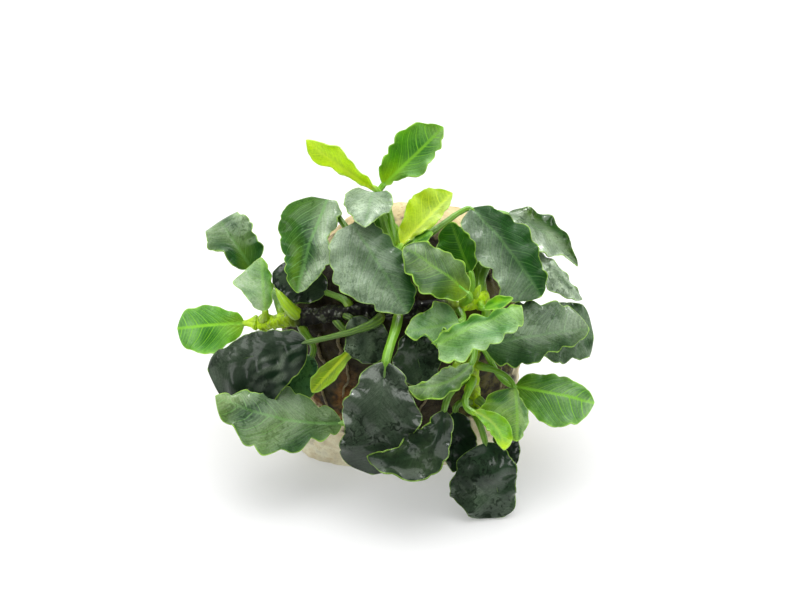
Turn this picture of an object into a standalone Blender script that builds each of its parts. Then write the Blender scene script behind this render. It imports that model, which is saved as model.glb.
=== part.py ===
"""Anubias nana, a small broad-leaved water plant, grown onto a pale river stone.

The stone stands on its flat underside, with the origin at the middle of that face.
The plant covers the stone's leaning front, so its places are given in the plane of
that front, in millimetres: across it, up it and out from it.
"""

import math
from collections import namedtuple

import bmesh
import bpy
from mathutils import Vector, noise
from mathutils.bvhtree import BVHTree

MM = 0.001
GAP = 0.6                       # clearance under a stalk's foot or a root, mm

# The planted front leans back, and its middle is this high above the underside.
FRONT_LEAN = math.radians(30)
FRONT_MIDDLE_HEIGHT = 40

# Stone: half sizes from its widest level, which is STONE_WAIST above the underside.
STONE_HALF_WIDTH = 46
STONE_HALF_DEPTH = 36
STONE_WAIST = 30
STONE_TOP = 61                  # waist to top
STONE_FOOT = 54                 # waist to where the sides would close below the cut
STONE_BLOCKINESS = 3.2          # 2 is an ellipsoid, more is boxier
STONE_LUMP = 3.8                # height of the broad lumps
STONE_LUMP_SIZE = 26
STONE_PIT = 0.7                 # height of the small lumps
STONE_PIT_SIZE = 8
STONE_EDGE = 14                 # how tightly the worn flats meet the rest
STONE_SUBDIVISIONS = 4
# Worn flats on the stone: outward direction and distance from the middle of its waist.
STONE_FLATS = (
    ((-0.55, 0.05, 0.83), 54),
    ((0.74, -0.64, 0.20), 51),
    ((-0.76, -0.62, 0.12), 49),
    ((0.25, 0.80, 0.55), 51),
    ((-0.66, 0.74, 0.12), 43),
    ((0.80, 0.60, -0.05), 48),
    ((0.88, 0.10, 0.46), 52),
    ((0.82, -0.15, -0.55), 46),
    ((-0.15, 0.85, -0.50), 38),
)

STALK_SIDES = 8                 # points round a stalk, and round a section of the blade
STALK_RING_STEP = 2.2           # distance between the rings of a stalk
MOST_STALK_RINGS = 6
BLADE_RINGS = 13
BLADE_THICKNESS = 0.9
SHEATH_RADIUS = 1.5             # the stalk's clasping foot
MARGIN_SHIFT = 0.35             # how far the left margin's waves run ahead of the right's

RHIZOME_SIDES = 10
RHIZOME_STEP = 2.4              # distance between the rings of a rhizome
RHIZOME_DIP = 0.05              # how much slimmer every other ring is
RHIZOME_END = 0.62              # girth of its two ends
ROOT_RADIUS = 0.75
ROOT_SIDES = 6
ROOT_STEP = 3.5

COLOURS = {
    "stone": (0.62, 0.52, 0.38),
    "rhizome": (0.16, 0.20, 0.07),
    "root": (0.30, 0.24, 0.14),
    "young": (0.42, 0.62, 0.03),
    "fresh": (0.10, 0.34, 0.03),
    "grown": (0.04, 0.15, 0.05),
    "dark": (0.02, 0.07, 0.04),
}

# Each rhizome: its radius and the route of its middle over the stone.
RHIZOMES = {
    "rhizome_main": (3.2, (
        (-53, 3, 25), (-44, 4, 33), (-34, 5, 39.5), (-20, 7, 45), (-5, 7, 47.2),
        (10, 8, 46), (22, 10, 44.8), (31, 12, 41.6),
    )),
    "rhizome_upper": (3.0, ((-3, 13.9, 48.3), (-3, 20, 48.6), (-2, 27, 46.1), (-1, 33, 42.3))),
    "rhizome_lower": (2.9, ((25, 3.6, 42.5), (25, -4, 41), (25, -14, 37), (26, -30, 27))),
}

# root: the rhizome, the share of its length, and the angle round it from straight out.
# base and tip: the two ends of the blade. facing: the way its upper face looks.
# right and left: how far each margin stands from the midrib at one, two, three and four
# fifths of the blade. tone: its colour. arch: degrees the blade bends back along its
# length. cup: rise of the margins, as a share of the width. ruffle: height of the
# margin's waves. waves and phase: how many they are, and where they begin. sweep: how far
# the midrib bows towards the right margin. blunt: how squarely the blade ends. shoulder:
# how slowly it broadens. lobe: how far the margins reach back beyond the stalk. stalk:
# its radius. rise and reach: how far the stalk runs straight out of the rhizome, and
# straight on into the blade.
Leaf = namedtuple(
    "Leaf",
    "name root base tip right left facing tone arch cup ruffle waves phase sweep blunt"
    " shoulder lobe stalk rise reach",
    defaults=("grown", 20, 0.0, 1.0, 4, 0.0, 0.0, 1.0, 0.6, 0.0, 1.15, None, None),
)
LEAVES = (
    # upper rhizome
    Leaf("leaf_top_left", ("rhizome_upper", 0.86, -50), (-10.6, 51.5, 42), (-35, 69, 44),
         (3.5, 5, 7.8, 5), (1.2, 1.8, 2.8, 4.8), (-0.35, -0.5, 0.8), "young",
         arch=20, cup=0.2, ruffle=0.5, phase=0.2, shoulder=0.9, rise=5),
    Leaf("leaf_top_right", ("rhizome_upper", 1.0, 0), (-7.3, 53, 39), (14.4, 74, 40),
         (2.6, 6.7, 5.9, 4.7), (6.8, 8.6, 10, 8), (0.1, -0.1, 1), "fresh",
         arch=15, cup=0.1, ruffle=0.7, shoulder=0.8),
    Leaf("leaf_top_small", ("rhizome_upper", 0.64, -30), (-10.9, 50, 47), (-13.6, 37, 60),
         (9.7, 9.3, 7.6, 5), (7.7, 8.1, 6.3, 3), (0, 0.7, 0.7), "grown",
         arch=25, cup=-0.1, ruffle=0.5, phase=0.3, shoulder=0.4, lobe=4, rise=4, reach=8),
    Leaf("leaf_upper_left", ("rhizome_upper", 0.34, -60), (-27.5, 47.8, 38), (-38, 14, 48),
         (15.5, 14.5, 10.6, 6.7), (7, 5.8, 8.8, 6.2), (-0.2, 0.35, 0.9), "grown",
         arch=35, cup=-0.2, ruffle=1.1, phase=0.1, lobe=2),
    Leaf("leaf_centre", ("rhizome_upper", 0.12, -50), (-18.4, 38.6, 50.6), (1.6, 6.8, 59),
         (13.5, 16.5, 15, 9.3), (8, 9.5, 9.4, 7.2), (0, 0.35, 0.93), "grown",
         arch=25, cup=-0.12, ruffle=1.0, waves=5, phase=0.5, lobe=2),
    Leaf("leaf_upper_young", ("rhizome_upper", 0.45, 35), (-0.8, 31.3, 50), (17.7, 50, 43),
         (1.6, 3.4, 3.6, 2.8), (5.2, 8.2, 9.0, 7.2), (-0.25, -0.15, 1), "young",
         arch=12, cup=0.15, ruffle=0.7, shoulder=0.8),
    Leaf("leaf_top_inner", ("rhizome_upper", 0.5, -95), (-9.5, 34, 42.5), (-14, 43, 38),
         (3, 4.5, 4.3, 3), (3, 4.5, 4.3, 3), (0.2, 0.1, 1), "fresh", arch=10, ruffle=0.3),
    Leaf("leaf_upper_tiny", ("rhizome_upper", 0.75, 55), (4, 32.5, 48), (10.5, 35.5, 47.5),
         (1.8, 2.5, 2.2, 1.4), (1.8, 2.5, 2.2, 1.4), (0, 0.4, 0.9), "fresh",
         arch=10, ruffle=0.2),
    Leaf("leaf_upper_right", ("rhizome_upper", 0.9, 80), (25, 44.6, 36), (49.4, 12.5, 46),
         (10.9, 14.2, 10.2, 12.6), (8.7, 12.1, 10.2, 7.3), (0.25, 0.35, 0.9), "grown",
         arch=30, cup=-0.1, ruffle=1.3, waves=5, phase=0.7, blunt=1.5, reach=5, rise=9),
    # right end of the main rhizome
    Leaf("leaf_centre_right", ("rhizome_main", 0.84, -5), (23, 14, 55), (-0.1, 29.9, 58),
         (6, 7.5, 7, 6), (7.2, 10.7, 10.8, 7.2), (0.1, 0.4, 0.92), "fresh",
         arch=25, cup=0.1, ruffle=1.2, phase=0.2, blunt=1.5),
    Leaf("leaf_upper_inner", ("rhizome_main", 0.89, -75), (24, 21.5, 47), (17.2, 39.5, 45),
         (4, 5.5, 5, 3), (5, 8, 9, 6.4), (-0.3, 0.0, 0.95), "fresh",
         arch=15, cup=0.05, ruffle=0.7, phase=0.4),
    Leaf("leaf_far_upper_right", ("rhizome_main", 0.98, -84), (39, 43.4, 22), (64.8, 24, 18),
         (8, 10, 8.6, 2), (7.2, 10.5, 9.4, 6.6), (0.35, 0.6, 0.7), "grown",
         arch=40, cup=-0.1, ruffle=0.9, phase=0.1, blunt=0.6),
    Leaf("leaf_far_right", ("rhizome_main", 0.95, -50), (46.7, 28, 26), (66, 11.5, 24),
         (6, 6.8, 6.4, 4), (4.6, 4, 3, 1.7), (0.3, 0.45, 0.8), "grown",
         arch=25, cup=-0.1, ruffle=0.8, phase=0.6, stalk=1.35),
    Leaf("leaf_right_young", ("rhizome_main", 0.94, 20), (29, 8.5, 50), (39.1, 12.1, 52),
         (1.8, 2.6, 2.4, 1.4), (1.8, 2.6, 2.4, 1.4), (-0.1, 0.3, 0.95), "fresh",
         arch=10, cup=0.2, ruffle=0.2),
    Leaf("leaf_middle_small", ("rhizome_main", 0.82, 40), (19.8, 3.6, 54), (0.6, -0.3, 58),
         (7.4, 9, 5.2, 4.1), (2.5, 4.2, 6, 3.4), (0, 0.35, 0.93), "fresh",
         arch=10, cup=0.15, ruffle=1.3, waves=3),
    Leaf("leaf_front_right", ("rhizome_main", 0.775, 66), (11.9, -4.4, 65), (41.4, 9.3, 66),
         (10, 9.7, 10, 8.5), (2.9, 4.2, 2.4, 2), (-0.05, 0.5, 0.86), "fresh",
         arch=15, cup=0.05, ruffle=1.2, blunt=1.8),
    Leaf("leaf_right", ("rhizome_main", 0.98, 70), (29, -4.8, 50), (66.7, 0.9, 46),
         (9.4, 9.7, 7, 5.5), (10, 14, 12.4, 11.2), (0.1, 0.35, 0.93), "grown",
         arch=25, cup=-0.1, ruffle=1.2, waves=5, phase=0.3),
    Leaf("leaf_right_back", ("rhizome_main", 1.0, 0), (46.7, 0.4, 32), (70.4, -2.4, 22),
         (10, 12.5, 10, 9.3), (9, 11, 12, 12), (0.35, 0.3, 0.9), "grown",
         arch=50, cup=-0.1, ruffle=0.8, phase=0.8, blunt=2.5),
    # lower rhizome
    Leaf("leaf_lower_right", ("rhizome_lower", 0.3, -75), (40.9, -20.1, 37), (69.3, -26, 38),
         (7.8, 11.5, 12, 9.6), (6, 7.2, 7, 5.4), (0.1, 0.3, 0.95), "fresh",
         arch=20, ruffle=0.9, phase=0.3, stalk=1.3),
    Leaf("leaf_lower_right_inner", ("rhizome_lower", 0.6, -40), (40.2, -20.4, 44),
         (40.6, -39.1, 50), (10.5, 13, 9, 5.5), (1.8, 4.2, 4.4, 3.1), (0.25, 0.3, 0.92), "fresh",
         arch=30, cup=-0.15, ruffle=0.8),
    Leaf("leaf_lower_young", ("rhizome_lower", 0.72, -10), (25.3, -28.5, 52), (35.7, -41.8, 56),
         (2.5, 3.5, 3.5, 2.7), (2.5, 4, 4.5, 3.5), (0.3, 0.2, 0.9), "young",
         arch=20, cup=0.25, ruffle=0.4, sweep=-2.8),
    Leaf("leaf_bottom_right", ("rhizome_lower", 0.95, 0), (29.5, -39.8, 48), (36.2, -67.2, 38.5),
         (12.5, 16, 14.5, 7.5), (6.8, 8.6, 6.6, 4.3), (0.1, -0.1, 1), "dark",
         arch=35, cup=-0.15, ruffle=1.0, phase=0.2),
    Leaf("leaf_bottom_back", ("rhizome_lower", 0.88, -60), (34.5, -35, 38), (40.2, -49.1, 36),
         (3.5, 5.2, 5.2, 4), (3.5, 5.2, 5.2, 4), (0.3, 0.2, 0.9), "dark",
         arch=25, cup=-0.1, ruffle=0.6),
    Leaf("leaf_bottom_inner", ("rhizome_lower", 0.9, 50), (18.7, -29.1, 40), (18.1, -51.2, 36),
         (3.2, 3.9, 3.9, 2.6), (6, 8, 8, 4.5), (0.0, 0.0, 1), "dark",
         arch=25, cup=-0.1, ruffle=0.6, phase=0.3),
    Leaf("leaf_bottom_folded", ("rhizome_lower", 0.7, 50), (14.6, -28.1, 50.3), (-12.9, -43.4, 60.3),
         (5, 8, 7, 3.6), (5.5, 8.5, 9.5, 6), (-0.2, 0.1, 1), "dark",
         arch=20, cup=0.1, ruffle=1.1, phase=0.5, sweep=-8.7),
    Leaf("leaf_lower_middle", ("rhizome_lower", 0.2, 20), (24.2, -11.5, 50), (1.6, -19.5, 56),
         (3.2, 5, 3.7, 1.4), (3.3, 4.5, 5.4, 5), (0.0, 0.4, 0.92), "fresh",
         arch=15, cup=0.15, ruffle=1.0, sweep=-3.5),
    # middle of the main rhizome
    Leaf("leaf_bottom_centre", ("rhizome_main", 0.6, 10), (-6.2, -10.6, 60), (-11.2, -50.6, 50),
         (9, 13.2, 11.5, 12.4), (9.3, 15, 13, 10), (-0.05, 0.15, 1), "dark",
         arch=25, cup=-0.12, ruffle=1.2, waves=5, phase=0.4, blunt=1.8, stalk=1.5),
    Leaf("leaf_middle_left", ("rhizome_main", 0.42, 90), (-18.4, 4.9, 50), (-8.4, -10.5, 48),
         (5, 8, 8, 6), (5, 8, 8, 6), (-0.1, 0.3, 0.95), "dark",
         arch=10, cup=-0.1, ruffle=0.8, phase=0.1, rise=3, reach=2),
    Leaf("leaf_middle_right", ("rhizome_main", 0.7, 60), (2.4, 0, 49), (7.8, -19.6, 46),
         (6, 9, 9, 6.5), (6, 9, 9, 6.5), (0.1, 0.25, 0.95), "dark",
         arch=15, cup=-0.1, ruffle=0.8, phase=0.2),
    Leaf("leaf_left_young", ("rhizome_main", 0.38, 70), (-17.8, -5.5, 46), (-33, -21.9, 42),
         (1.3, 2.5, 3.5, 3.4), (2.2, 3, 3.5, 2.6), (-0.1, 0.2, 1), "young",
         arch=15, cup=0.4, ruffle=0.2),
    Leaf("leaf_lower_left", ("rhizome_main", 0.53, 108), (-22.3, -33.2, 38), (-67.4, -23, 42),
         (8, 12.5, 11, 6.5), (6.3, 12.5, 14, 9.5), (-0.05, 0.45, 0.88), "grown",
         arch=15, cup=-0.05, ruffle=1.4, waves=6, phase=0.2, sweep=-6.8, rise=8),
    Leaf("leaf_left_dark", ("rhizome_main", 0.4, 10), (-34.7, -3.7, 48), (-71.2, -14.1, 38),
         (6.7, 8.5, 9, 5), (11, 16.5, 16, 12), (-0.15, 0.35, 0.92), "dark",
         arch=25, cup=-0.1, ruffle=1.2, waves=5),
    # left end of the main rhizome
    Leaf("leaf_left_under", ("rhizome_main", 0.44, -50), (-28, 14.3, 41), (-47.5, 21.6, 32),
         (5, 7.5, 7.5, 5), (5, 7.5, 7.5, 5), (-0.1, 0.3, 0.95), "dark",
         arch=20, cup=-0.1, ruffle=0.8, phase=0.5),
    Leaf("leaf_left_inner", ("rhizome_main", 0.24, 70), (-33.2, -11.1, 38), (-40.6, -25.4, 36),
         (4, 6, 6, 4), (4, 6, 6, 4), (-0.1, 0.3, 0.95), "dark",
         arch=20, cup=-0.1, ruffle=0.6, phase=0.5),
    Leaf("leaf_far_left", ("rhizome_main", 0.0, 0), (-58.8, 2.9, 22), (-84.1, 0.7, 16),
         (4.9, 7, 7.8, 7), (7, 10.3, 10.8, 8.6), (-0.2, 0.2, 0.95), "fresh",
         arch=20, ruffle=0.6, blunt=1.5, rise=1.2, reach=1.2),
    Leaf("leaf_left_small", ("rhizome_main", 0.06, -30), (-50.4, 7.5, 34), (-51.8, 26.9, 32),
         (2.7, 3.4, 3.3, 2.4), (6.6, 8.5, 10.4, 8), (-0.1, -0.1, 1), "fresh",
         arch=20, cup=-0.2, ruffle=0.6, blunt=1.5),
    Leaf("leaf_upper_far_left", ("rhizome_main", 0.14, -80), (-56.5, 23.4, 18), (-70.1, 43.1, 10),
         (8.2, 7.8, 9.6, 8), (5.7, 5.7, 9.3, 7.2), (-0.1, 0.3, 0.95), "grown",
         arch=50, cup=-0.1, ruffle=0.9, phase=0.3, blunt=2.5),
)

# Rolled new leaves: radius, and the route from the rhizome to the point.
SHOOTS = {
    "shoot_left": (1.6, ((-47, 9.5, 36), (-49, 13, 38), (-50, 16, 39))),
    "shoot_right": (1.3, ((25.5, 12, 48.6), (26.5, 14.5, 50.5), (27.5, 17, 51.5))),
    "shoot_lower": (1.3, ((21.5, -9, 41.5), (19, -11.5, 44), (17.5, -14, 45))),
}

# Roots gripping the stone: the way each one runs over its face, across and up.
ROOTS = {
    "root_1": ((-30, 0), (-31, -6), (-28, -13), (-30, -21), (-27, -28)),
    "root_2": ((-22, 2), (-23, -6), (-20, -14), (-22, -24)),
    "root_3": ((-12, 13), (-14, 20), (-12, 27), (-15, 33)),
    "root_4": ((8, 2), (9, -6), (6, -14), (8, -24), (5, -32)),
    "root_5": ((33, 8), (36, 4), (37, -4), (35, -12), (37, -18)),
    "root_6": ((31, 18), (33, 23), (31, 29)),
}


def place(across, up, out):
    """The point in metres for a place on the leaning front in millimetres."""
    lean, height = FRONT_LEAN, FRONT_MIDDLE_HEIGHT
    return MM * Vector((
        across,
        up * math.sin(lean) - out * math.cos(lean),
        height + up * math.cos(lean) + out * math.sin(lean),
    ))


def material(name, roughness):
    found = bpy.data.materials.new(name)
    found.use_nodes = True
    shader = found.node_tree.nodes["Principled BSDF"]
    shader.inputs["Base Color"].default_value = (*COLOURS[name], 1)
    shader.inputs["Roughness"].default_value = roughness
    return found


def add_object(name, mesh_data, finish):
    made = bpy.data.objects.new(name, mesh_data)
    bpy.context.collection.objects.link(made)
    made.data.materials.append(finish)
    made.data.shade_smooth()
    return made


def loft(name, rings, finish):
    """One closed skin through rings of points in metres."""
    shape = bmesh.new()
    rows = [[shape.verts.new(point) for point in ring] for ring in rings]
    half = len(rows[0]) // 2
    for row, following in zip(rows, rows[1:]):
        for i in range(len(row)):
            j = (i + 1) % len(row)
            corners = (row[i], row[j], following[j], following[i])
            # Both faces of a blade are cut along the same diagonals, so thin edges don't cross.
            start = 0 if i < half else 1
            shape.faces.new((corners[start], corners[start + 1], corners[start + 2]))
            shape.faces.new((corners[start], corners[start + 2], corners[start - 1]))
    shape.faces.new(reversed(rows[0]))
    shape.faces.new(rows[-1])
    bmesh.ops.recalc_face_normals(shape, faces=shape.faces[:])
    mesh_data = bpy.data.meshes.new(name)
    shape.to_mesh(mesh_data)
    shape.free()
    return add_object(name, mesh_data, finish)


def loft_on_front(name, rings, finish):
    """A loft through rings given in mm on the leaning front."""
    return loft(name, [[place(*point) for point in ring] for ring in rings], finish)


# ---------------------------------------------------------------- the stone

def stone_radius(direction):
    """Distance in mm from the middle of the stone's waist to its skin."""
    height = STONE_TOP if direction.z > 0 else STONE_FOOT
    power = STONE_BLOCKINESS
    reach = (
        abs(direction.x / STONE_HALF_WIDTH) ** power
        + abs(direction.y / STONE_HALF_DEPTH) ** power
        + abs(direction.z / height) ** power
    ) ** (-1 / power)
    closeness = reach ** -STONE_EDGE
    for outward, distance in STONE_FLATS:
        lean = direction.dot(Vector(outward).normalized())
        closeness += (max(lean, 0) / distance) ** STONE_EDGE
    spot = direction * closeness ** (-1 / STONE_EDGE)
    lump = STONE_LUMP * noise.noise(spot / STONE_LUMP_SIZE + Vector((3.1, 0.4, 7.7)))
    pit = STONE_PIT * noise.noise(spot / STONE_PIT_SIZE)
    return spot.length + lump + pit


def build_stone(finish):
    shape = bmesh.new()
    bmesh.ops.create_icosphere(shape, subdivisions=STONE_SUBDIVISIONS, radius=1)
    for corner in shape.verts:
        direction = corner.co.normalized()
        corner.co = MM * (direction * stone_radius(direction) + Vector((0, 0, STONE_WAIST)))
    everything = shape.verts[:] + shape.edges[:] + shape.faces[:]
    cut = bmesh.ops.bisect_plane(
        shape, geom=everything, plane_co=(0, 0, 0), plane_no=(0, 0, -1), clear_outer=True
    )
    rim = [item for item in cut["geom_cut"] if isinstance(item, bmesh.types.BMEdge)]
    bmesh.ops.contextual_create(shape, geom=rim)
    bmesh.ops.recalc_face_normals(shape, faces=shape.faces[:])
    mesh_data = bpy.data.meshes.new("stone")
    shape.to_mesh(mesh_data)
    made = add_object("stone", mesh_data, finish)
    made.data.set_sharp_from_angle(angle=math.radians(40))
    skin = BVHTree.FromBMesh(shape)
    shape.free()
    return skin


# ---------------------------------------------------------------- the plant

def smooth_route(points, share):
    """The place at a share of the way along a smooth curve through the points."""
    points = [Vector(point) for point in points]
    spans = len(points) - 1
    at = min(max(share, 0.0), 1.0) * spans
    span = min(int(at), spans - 1)
    t = at - span
    before = points[span - 1] if span else 2 * points[0] - points[1]
    start, end = points[span], points[span + 1]
    after = points[span + 2] if span + 2 <= spans else 2 * points[-1] - points[-2]
    return 0.5 * (
        2 * start
        + (end - before) * t
        + (2 * before - 5 * start + 4 * end - after) * t ** 2
        + (3 * start - before - 3 * end + after) * t ** 3
    )


def route_direction(points, share):
    step = 0.01
    return (smooth_route(points, share + step) - smooth_route(points, share - step)).normalized()


def route_length(points):
    steps = 40
    stops = [smooth_route(points, i / steps) for i in range(steps + 1)]
    return sum((b - a).length for a, b in zip(stops, stops[1:]))


def round_ring(middle, along, radius, sides, flat_way):
    """Points of a circle round a line, starting on the side nearest flat_way."""
    first = (flat_way - flat_way.dot(along) * along).normalized()
    second = along.cross(first)
    turns = [2 * math.pi * i / sides for i in range(sides)]
    return [middle + radius * (math.cos(turn) * first + math.sin(turn) * second) for turn in turns]


def build_rhizome(name, finish):
    radius, route = RHIZOMES[name]
    count = max(4, round(route_length(route) / RHIZOME_STEP))
    rings = []
    for i in range(count + 1):
        share = i / count
        along = route_direction(route, share)
        if i in (0, count):
            girth = radius * RHIZOME_END
        else:
            girth = radius * (1 - RHIZOME_DIP * (i % 2))
        rings.append(round_ring(
            smooth_route(route, share), along, girth, RHIZOME_SIDES, Vector((0, 0, 1))
        ))
    return loft_on_front(name, rings, finish)


def half_width(leaf, t, s):
    """Distance from the midrib to the margin on the side of s, at a share of the blade."""
    stops = (0, *(leaf.right if s > 0 else leaf.left), 0)
    at = min(int(t * 5), 4)
    share = t * 5 - at
    start, end = stops[at], stops[at + 1]
    if at == 0:
        width = end * (1 - (1 - share) ** 2) ** leaf.shoulder
    elif at == 4:
        width = start * (1 - share ** (1 + leaf.blunt)) ** 0.7
    else:
        ease = share * share * (3 - 2 * share)
        width = start + (end - start) * ease
    return max(width, leaf.stalk * 0.8 if t < 0.5 else 0.25)


def blade_frame(leaf, t):
    """Middle, forward, side and face directions of the blade at a share of its length."""
    base, tip = Vector(leaf.base), Vector(leaf.tip)
    chord = tip - base
    forward = chord.normalized()
    facing = Vector(leaf.facing)
    face = (facing - facing.dot(forward) * forward).normalized()
    side = forward.cross(face)
    half = math.radians(leaf.arch) / 2
    radius = chord.length / 2 / math.sin(half)
    angle = (2 * t - 1) * half
    middle = (
        base + chord / 2 + radius * math.sin(angle) * forward
        + radius * (math.cos(angle) - math.cos(half)) * face
        + leaf.sweep * 4 * t * (1 - t) * side
    )
    turned_forward = math.cos(angle) * forward - math.sin(angle) * face
    turned_face = math.cos(angle) * face + math.sin(angle) * forward
    veer = math.atan(leaf.sweep * 4 * (1 - 2 * t) / chord.length)
    veered_forward = math.cos(veer) * turned_forward + math.sin(veer) * side
    veered_side = math.cos(veer) * side - math.sin(veer) * turned_forward
    return middle, veered_forward, veered_side, turned_face


def blade_point(leaf, t, s):
    """A place on the blade's middle surface: t along it, and s from margin to margin."""
    middle, forward, side, face = blade_frame(leaf, t)
    width = half_width(leaf, t, s)
    turn = 2 * math.pi * (leaf.waves * t + leaf.phase + (MARGIN_SHIFT if s < 0 else 0))
    swing = math.sin(turn) * leaf.ruffle * s * s * min(1, 6 * t, 6 * (1 - t))
    lift = leaf.cup * width * s * s + swing
    back = leaf.lobe * abs(s) ** 1.5 * (1 - t) ** 6 * min(1, 40 * t)
    return middle + s * width * side + lift * face - back * forward, face


def blade_ring(leaf, t):
    """A closed section of the blade: over the top from one margin to the other, and back."""
    ring = []
    for i in range(STALK_SIDES):
        turn = 2 * math.pi * i / STALK_SIDES
        point, face = blade_point(leaf, t, math.cos(turn))
        ring.append(point + BLADE_THICKNESS / 2 * math.sin(turn) * face)
    return ring


def stalk_start(leaf):
    """Where the stalk leaves its rhizome, and the direction straight out of it."""
    name, share, angle = leaf.root
    radius, route = RHIZOMES[name]
    middle, along = smooth_route(route, share), route_direction(route, share)
    straight_out = Vector((0, 0, 1))
    first = (straight_out - straight_out.dot(along) * along).normalized()
    turn = math.radians(angle)
    away = math.cos(turn) * first + math.sin(turn) * along.cross(first)
    if share in (0.0, 1.0):
        away = (away + (2 * share - 1) * 1.6 * along).normalized()
    return middle + (radius + GAP) * away, away


def stalk_bends(leaf):
    """The four corners of the stalk's curve, from the rhizome to the blade."""
    start, away = stalk_start(leaf)
    base, forward, _, _ = blade_frame(leaf, 0)
    span = (base - start).length
    rise = 0.4 * span if leaf.rise is None else leaf.rise
    reach = 0.4 * span if leaf.reach is None else leaf.reach
    return start, start + rise * away, base - reach * forward, base


def build_leaf(leaf, finishes):
    bends = stalk_bends(leaf)
    start, away = stalk_start(leaf)
    rings = []
    flat_way = blade_frame(leaf, 0)[2]
    count = min(max(round((bends[3] - start).length / STALK_RING_STEP), 2), MOST_STALK_RINGS)
    for i in reversed(range(count)):
        t = i / count
        middle = bezier(bends, t)
        along = (bezier(bends, t + 0.02) - bezier(bends, t - 0.02)).normalized()
        if i == 0:
            middle, along = start, away
        radius = leaf.stalk + (SHEATH_RADIUS - leaf.stalk) * (1 - t) ** 3
        ring = round_ring(middle, along, radius, STALK_SIDES, flat_way)
        flat_way = (ring[0] - middle).normalized()
        rings.insert(0, [ring[-k % STALK_SIDES] for k in range(STALK_SIDES)])
    # The blade's rings stand closer together towards its two ends.
    for i in range(BLADE_RINGS):
        t = 0.5 - 0.5 * math.cos(math.pi * (i + 0.35) / (BLADE_RINGS - 0.3))
        rings.append(blade_ring(leaf, t))
    return loft_on_front(leaf.name, rings, finishes[leaf.tone])


def bezier(bends, t):
    a, b, c, d = bends
    return (1 - t) ** 3 * a + 3 * (1 - t) ** 2 * t * b + 3 * (1 - t) * t ** 2 * c + t ** 3 * d


def build_shoot(name, finish):
    radius, route = SHOOTS[name]
    rings = []
    for share, girth in ((0, 0.8), (0.3, 1), (0.6, 0.8), (0.85, 0.45), (1, 0.12)):
        rings.append(round_ring(
            smooth_route(route, share), route_direction(route, share), radius * girth,
            STALK_SIDES, Vector((1, 0, 0)),
        ))
    return loft_on_front(name, rings, finish)


def build_root(name, finish, skin):
    """A root lies on the stone: each of its points is lifted off the skin below it."""
    route = [(across, up, 0) for across, up in ROOTS[name]]
    inward = (place(0, 0, -1) - place(0, 0, 0)).normalized()
    lift = MM * (ROOT_RADIUS + GAP)
    count = max(3, round(route_length(route) / ROOT_STEP))
    middles = []
    for i in range(count + 1):
        across, up, _ = smooth_route(route, i / count)
        hit, normal, _, _ = skin.ray_cast(place(across, up, 200), inward)
        middles.append((hit + lift * normal, normal))
    rings = []
    for i, (middle, normal) in enumerate(middles):
        along = (middles[min(i + 1, count)][0] - middles[max(i - 1, 0)][0]).normalized()
        radius = MM * ROOT_RADIUS * (1 - 0.5 * i / count)
        rings.append(round_ring(middle, along, radius, ROOT_SIDES, normal))
    return loft(name, rings, finish)


def main():
    for old in list(bpy.data.objects):
        bpy.data.objects.remove(old)
    finishes = {name: material(name, 0.85 if name == "stone" else 0.4) for name in COLOURS}
    skin = build_stone(finishes["stone"])
    for name in RHIZOMES:
        build_rhizome(name, finishes["rhizome"])
    for leaf in LEAVES:
        build_leaf(leaf, finishes)
    for name in SHOOTS:
        build_shoot(name, finishes["young"])
    for name in ROOTS:
        build_root(name, finishes["root"], skin)


main()
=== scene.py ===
"""The looks of an anubias nana on its stone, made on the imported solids.

The plant covers the stone's leaning front, so its places are given in the plane of that
front, in millimetres: across it, up it and out from it. Each leaf is a thin sheet with
its veins, waves and margin in the mesh, on a stalk that runs on below it as the midrib.
"""

import math
from collections import namedtuple
from functools import partial

import bpy
import numpy as np
from bpy.props import FloatProperty, FloatVectorProperty, PointerProperty
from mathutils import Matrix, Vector, noise


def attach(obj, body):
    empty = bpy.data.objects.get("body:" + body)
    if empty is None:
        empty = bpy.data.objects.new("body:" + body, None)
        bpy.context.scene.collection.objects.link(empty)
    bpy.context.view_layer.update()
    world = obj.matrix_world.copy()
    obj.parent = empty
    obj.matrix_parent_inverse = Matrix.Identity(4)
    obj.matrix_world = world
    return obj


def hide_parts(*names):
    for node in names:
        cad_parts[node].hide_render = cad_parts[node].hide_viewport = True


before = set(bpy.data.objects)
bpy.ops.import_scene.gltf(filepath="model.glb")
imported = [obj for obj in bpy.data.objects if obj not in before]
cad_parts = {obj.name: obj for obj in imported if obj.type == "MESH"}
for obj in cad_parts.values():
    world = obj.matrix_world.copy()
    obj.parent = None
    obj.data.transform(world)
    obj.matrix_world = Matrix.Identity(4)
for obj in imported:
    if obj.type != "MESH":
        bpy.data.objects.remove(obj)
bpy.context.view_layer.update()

bl_info = {
    "name": "Anubias nana on a stone",
    "version": (1, 0, 0),
    "blender": (4, 5, 0),
    "location": "3D View > Sidebar > Anubias",
    "description": "Builds the plant, its stone and the stage around them",
    "category": "Object",
}

MM = 0.001
FRONT_LEAN = math.radians(30)           # the planted front leans back
FRONT_MIDDLE_HEIGHT = 40                # mm above the underside
CAMERA_AIM = (-2.28, 11.4)              # where it looks on the planted front, mm
SENSOR_WIDTH = 36                       # mm
MERGE = 1e-7                            # m between points that count as one
RIPPLE_WAVES = 7
OUTWARD = np.array((0, 0, 1.0))         # straight out of the planted front

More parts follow.
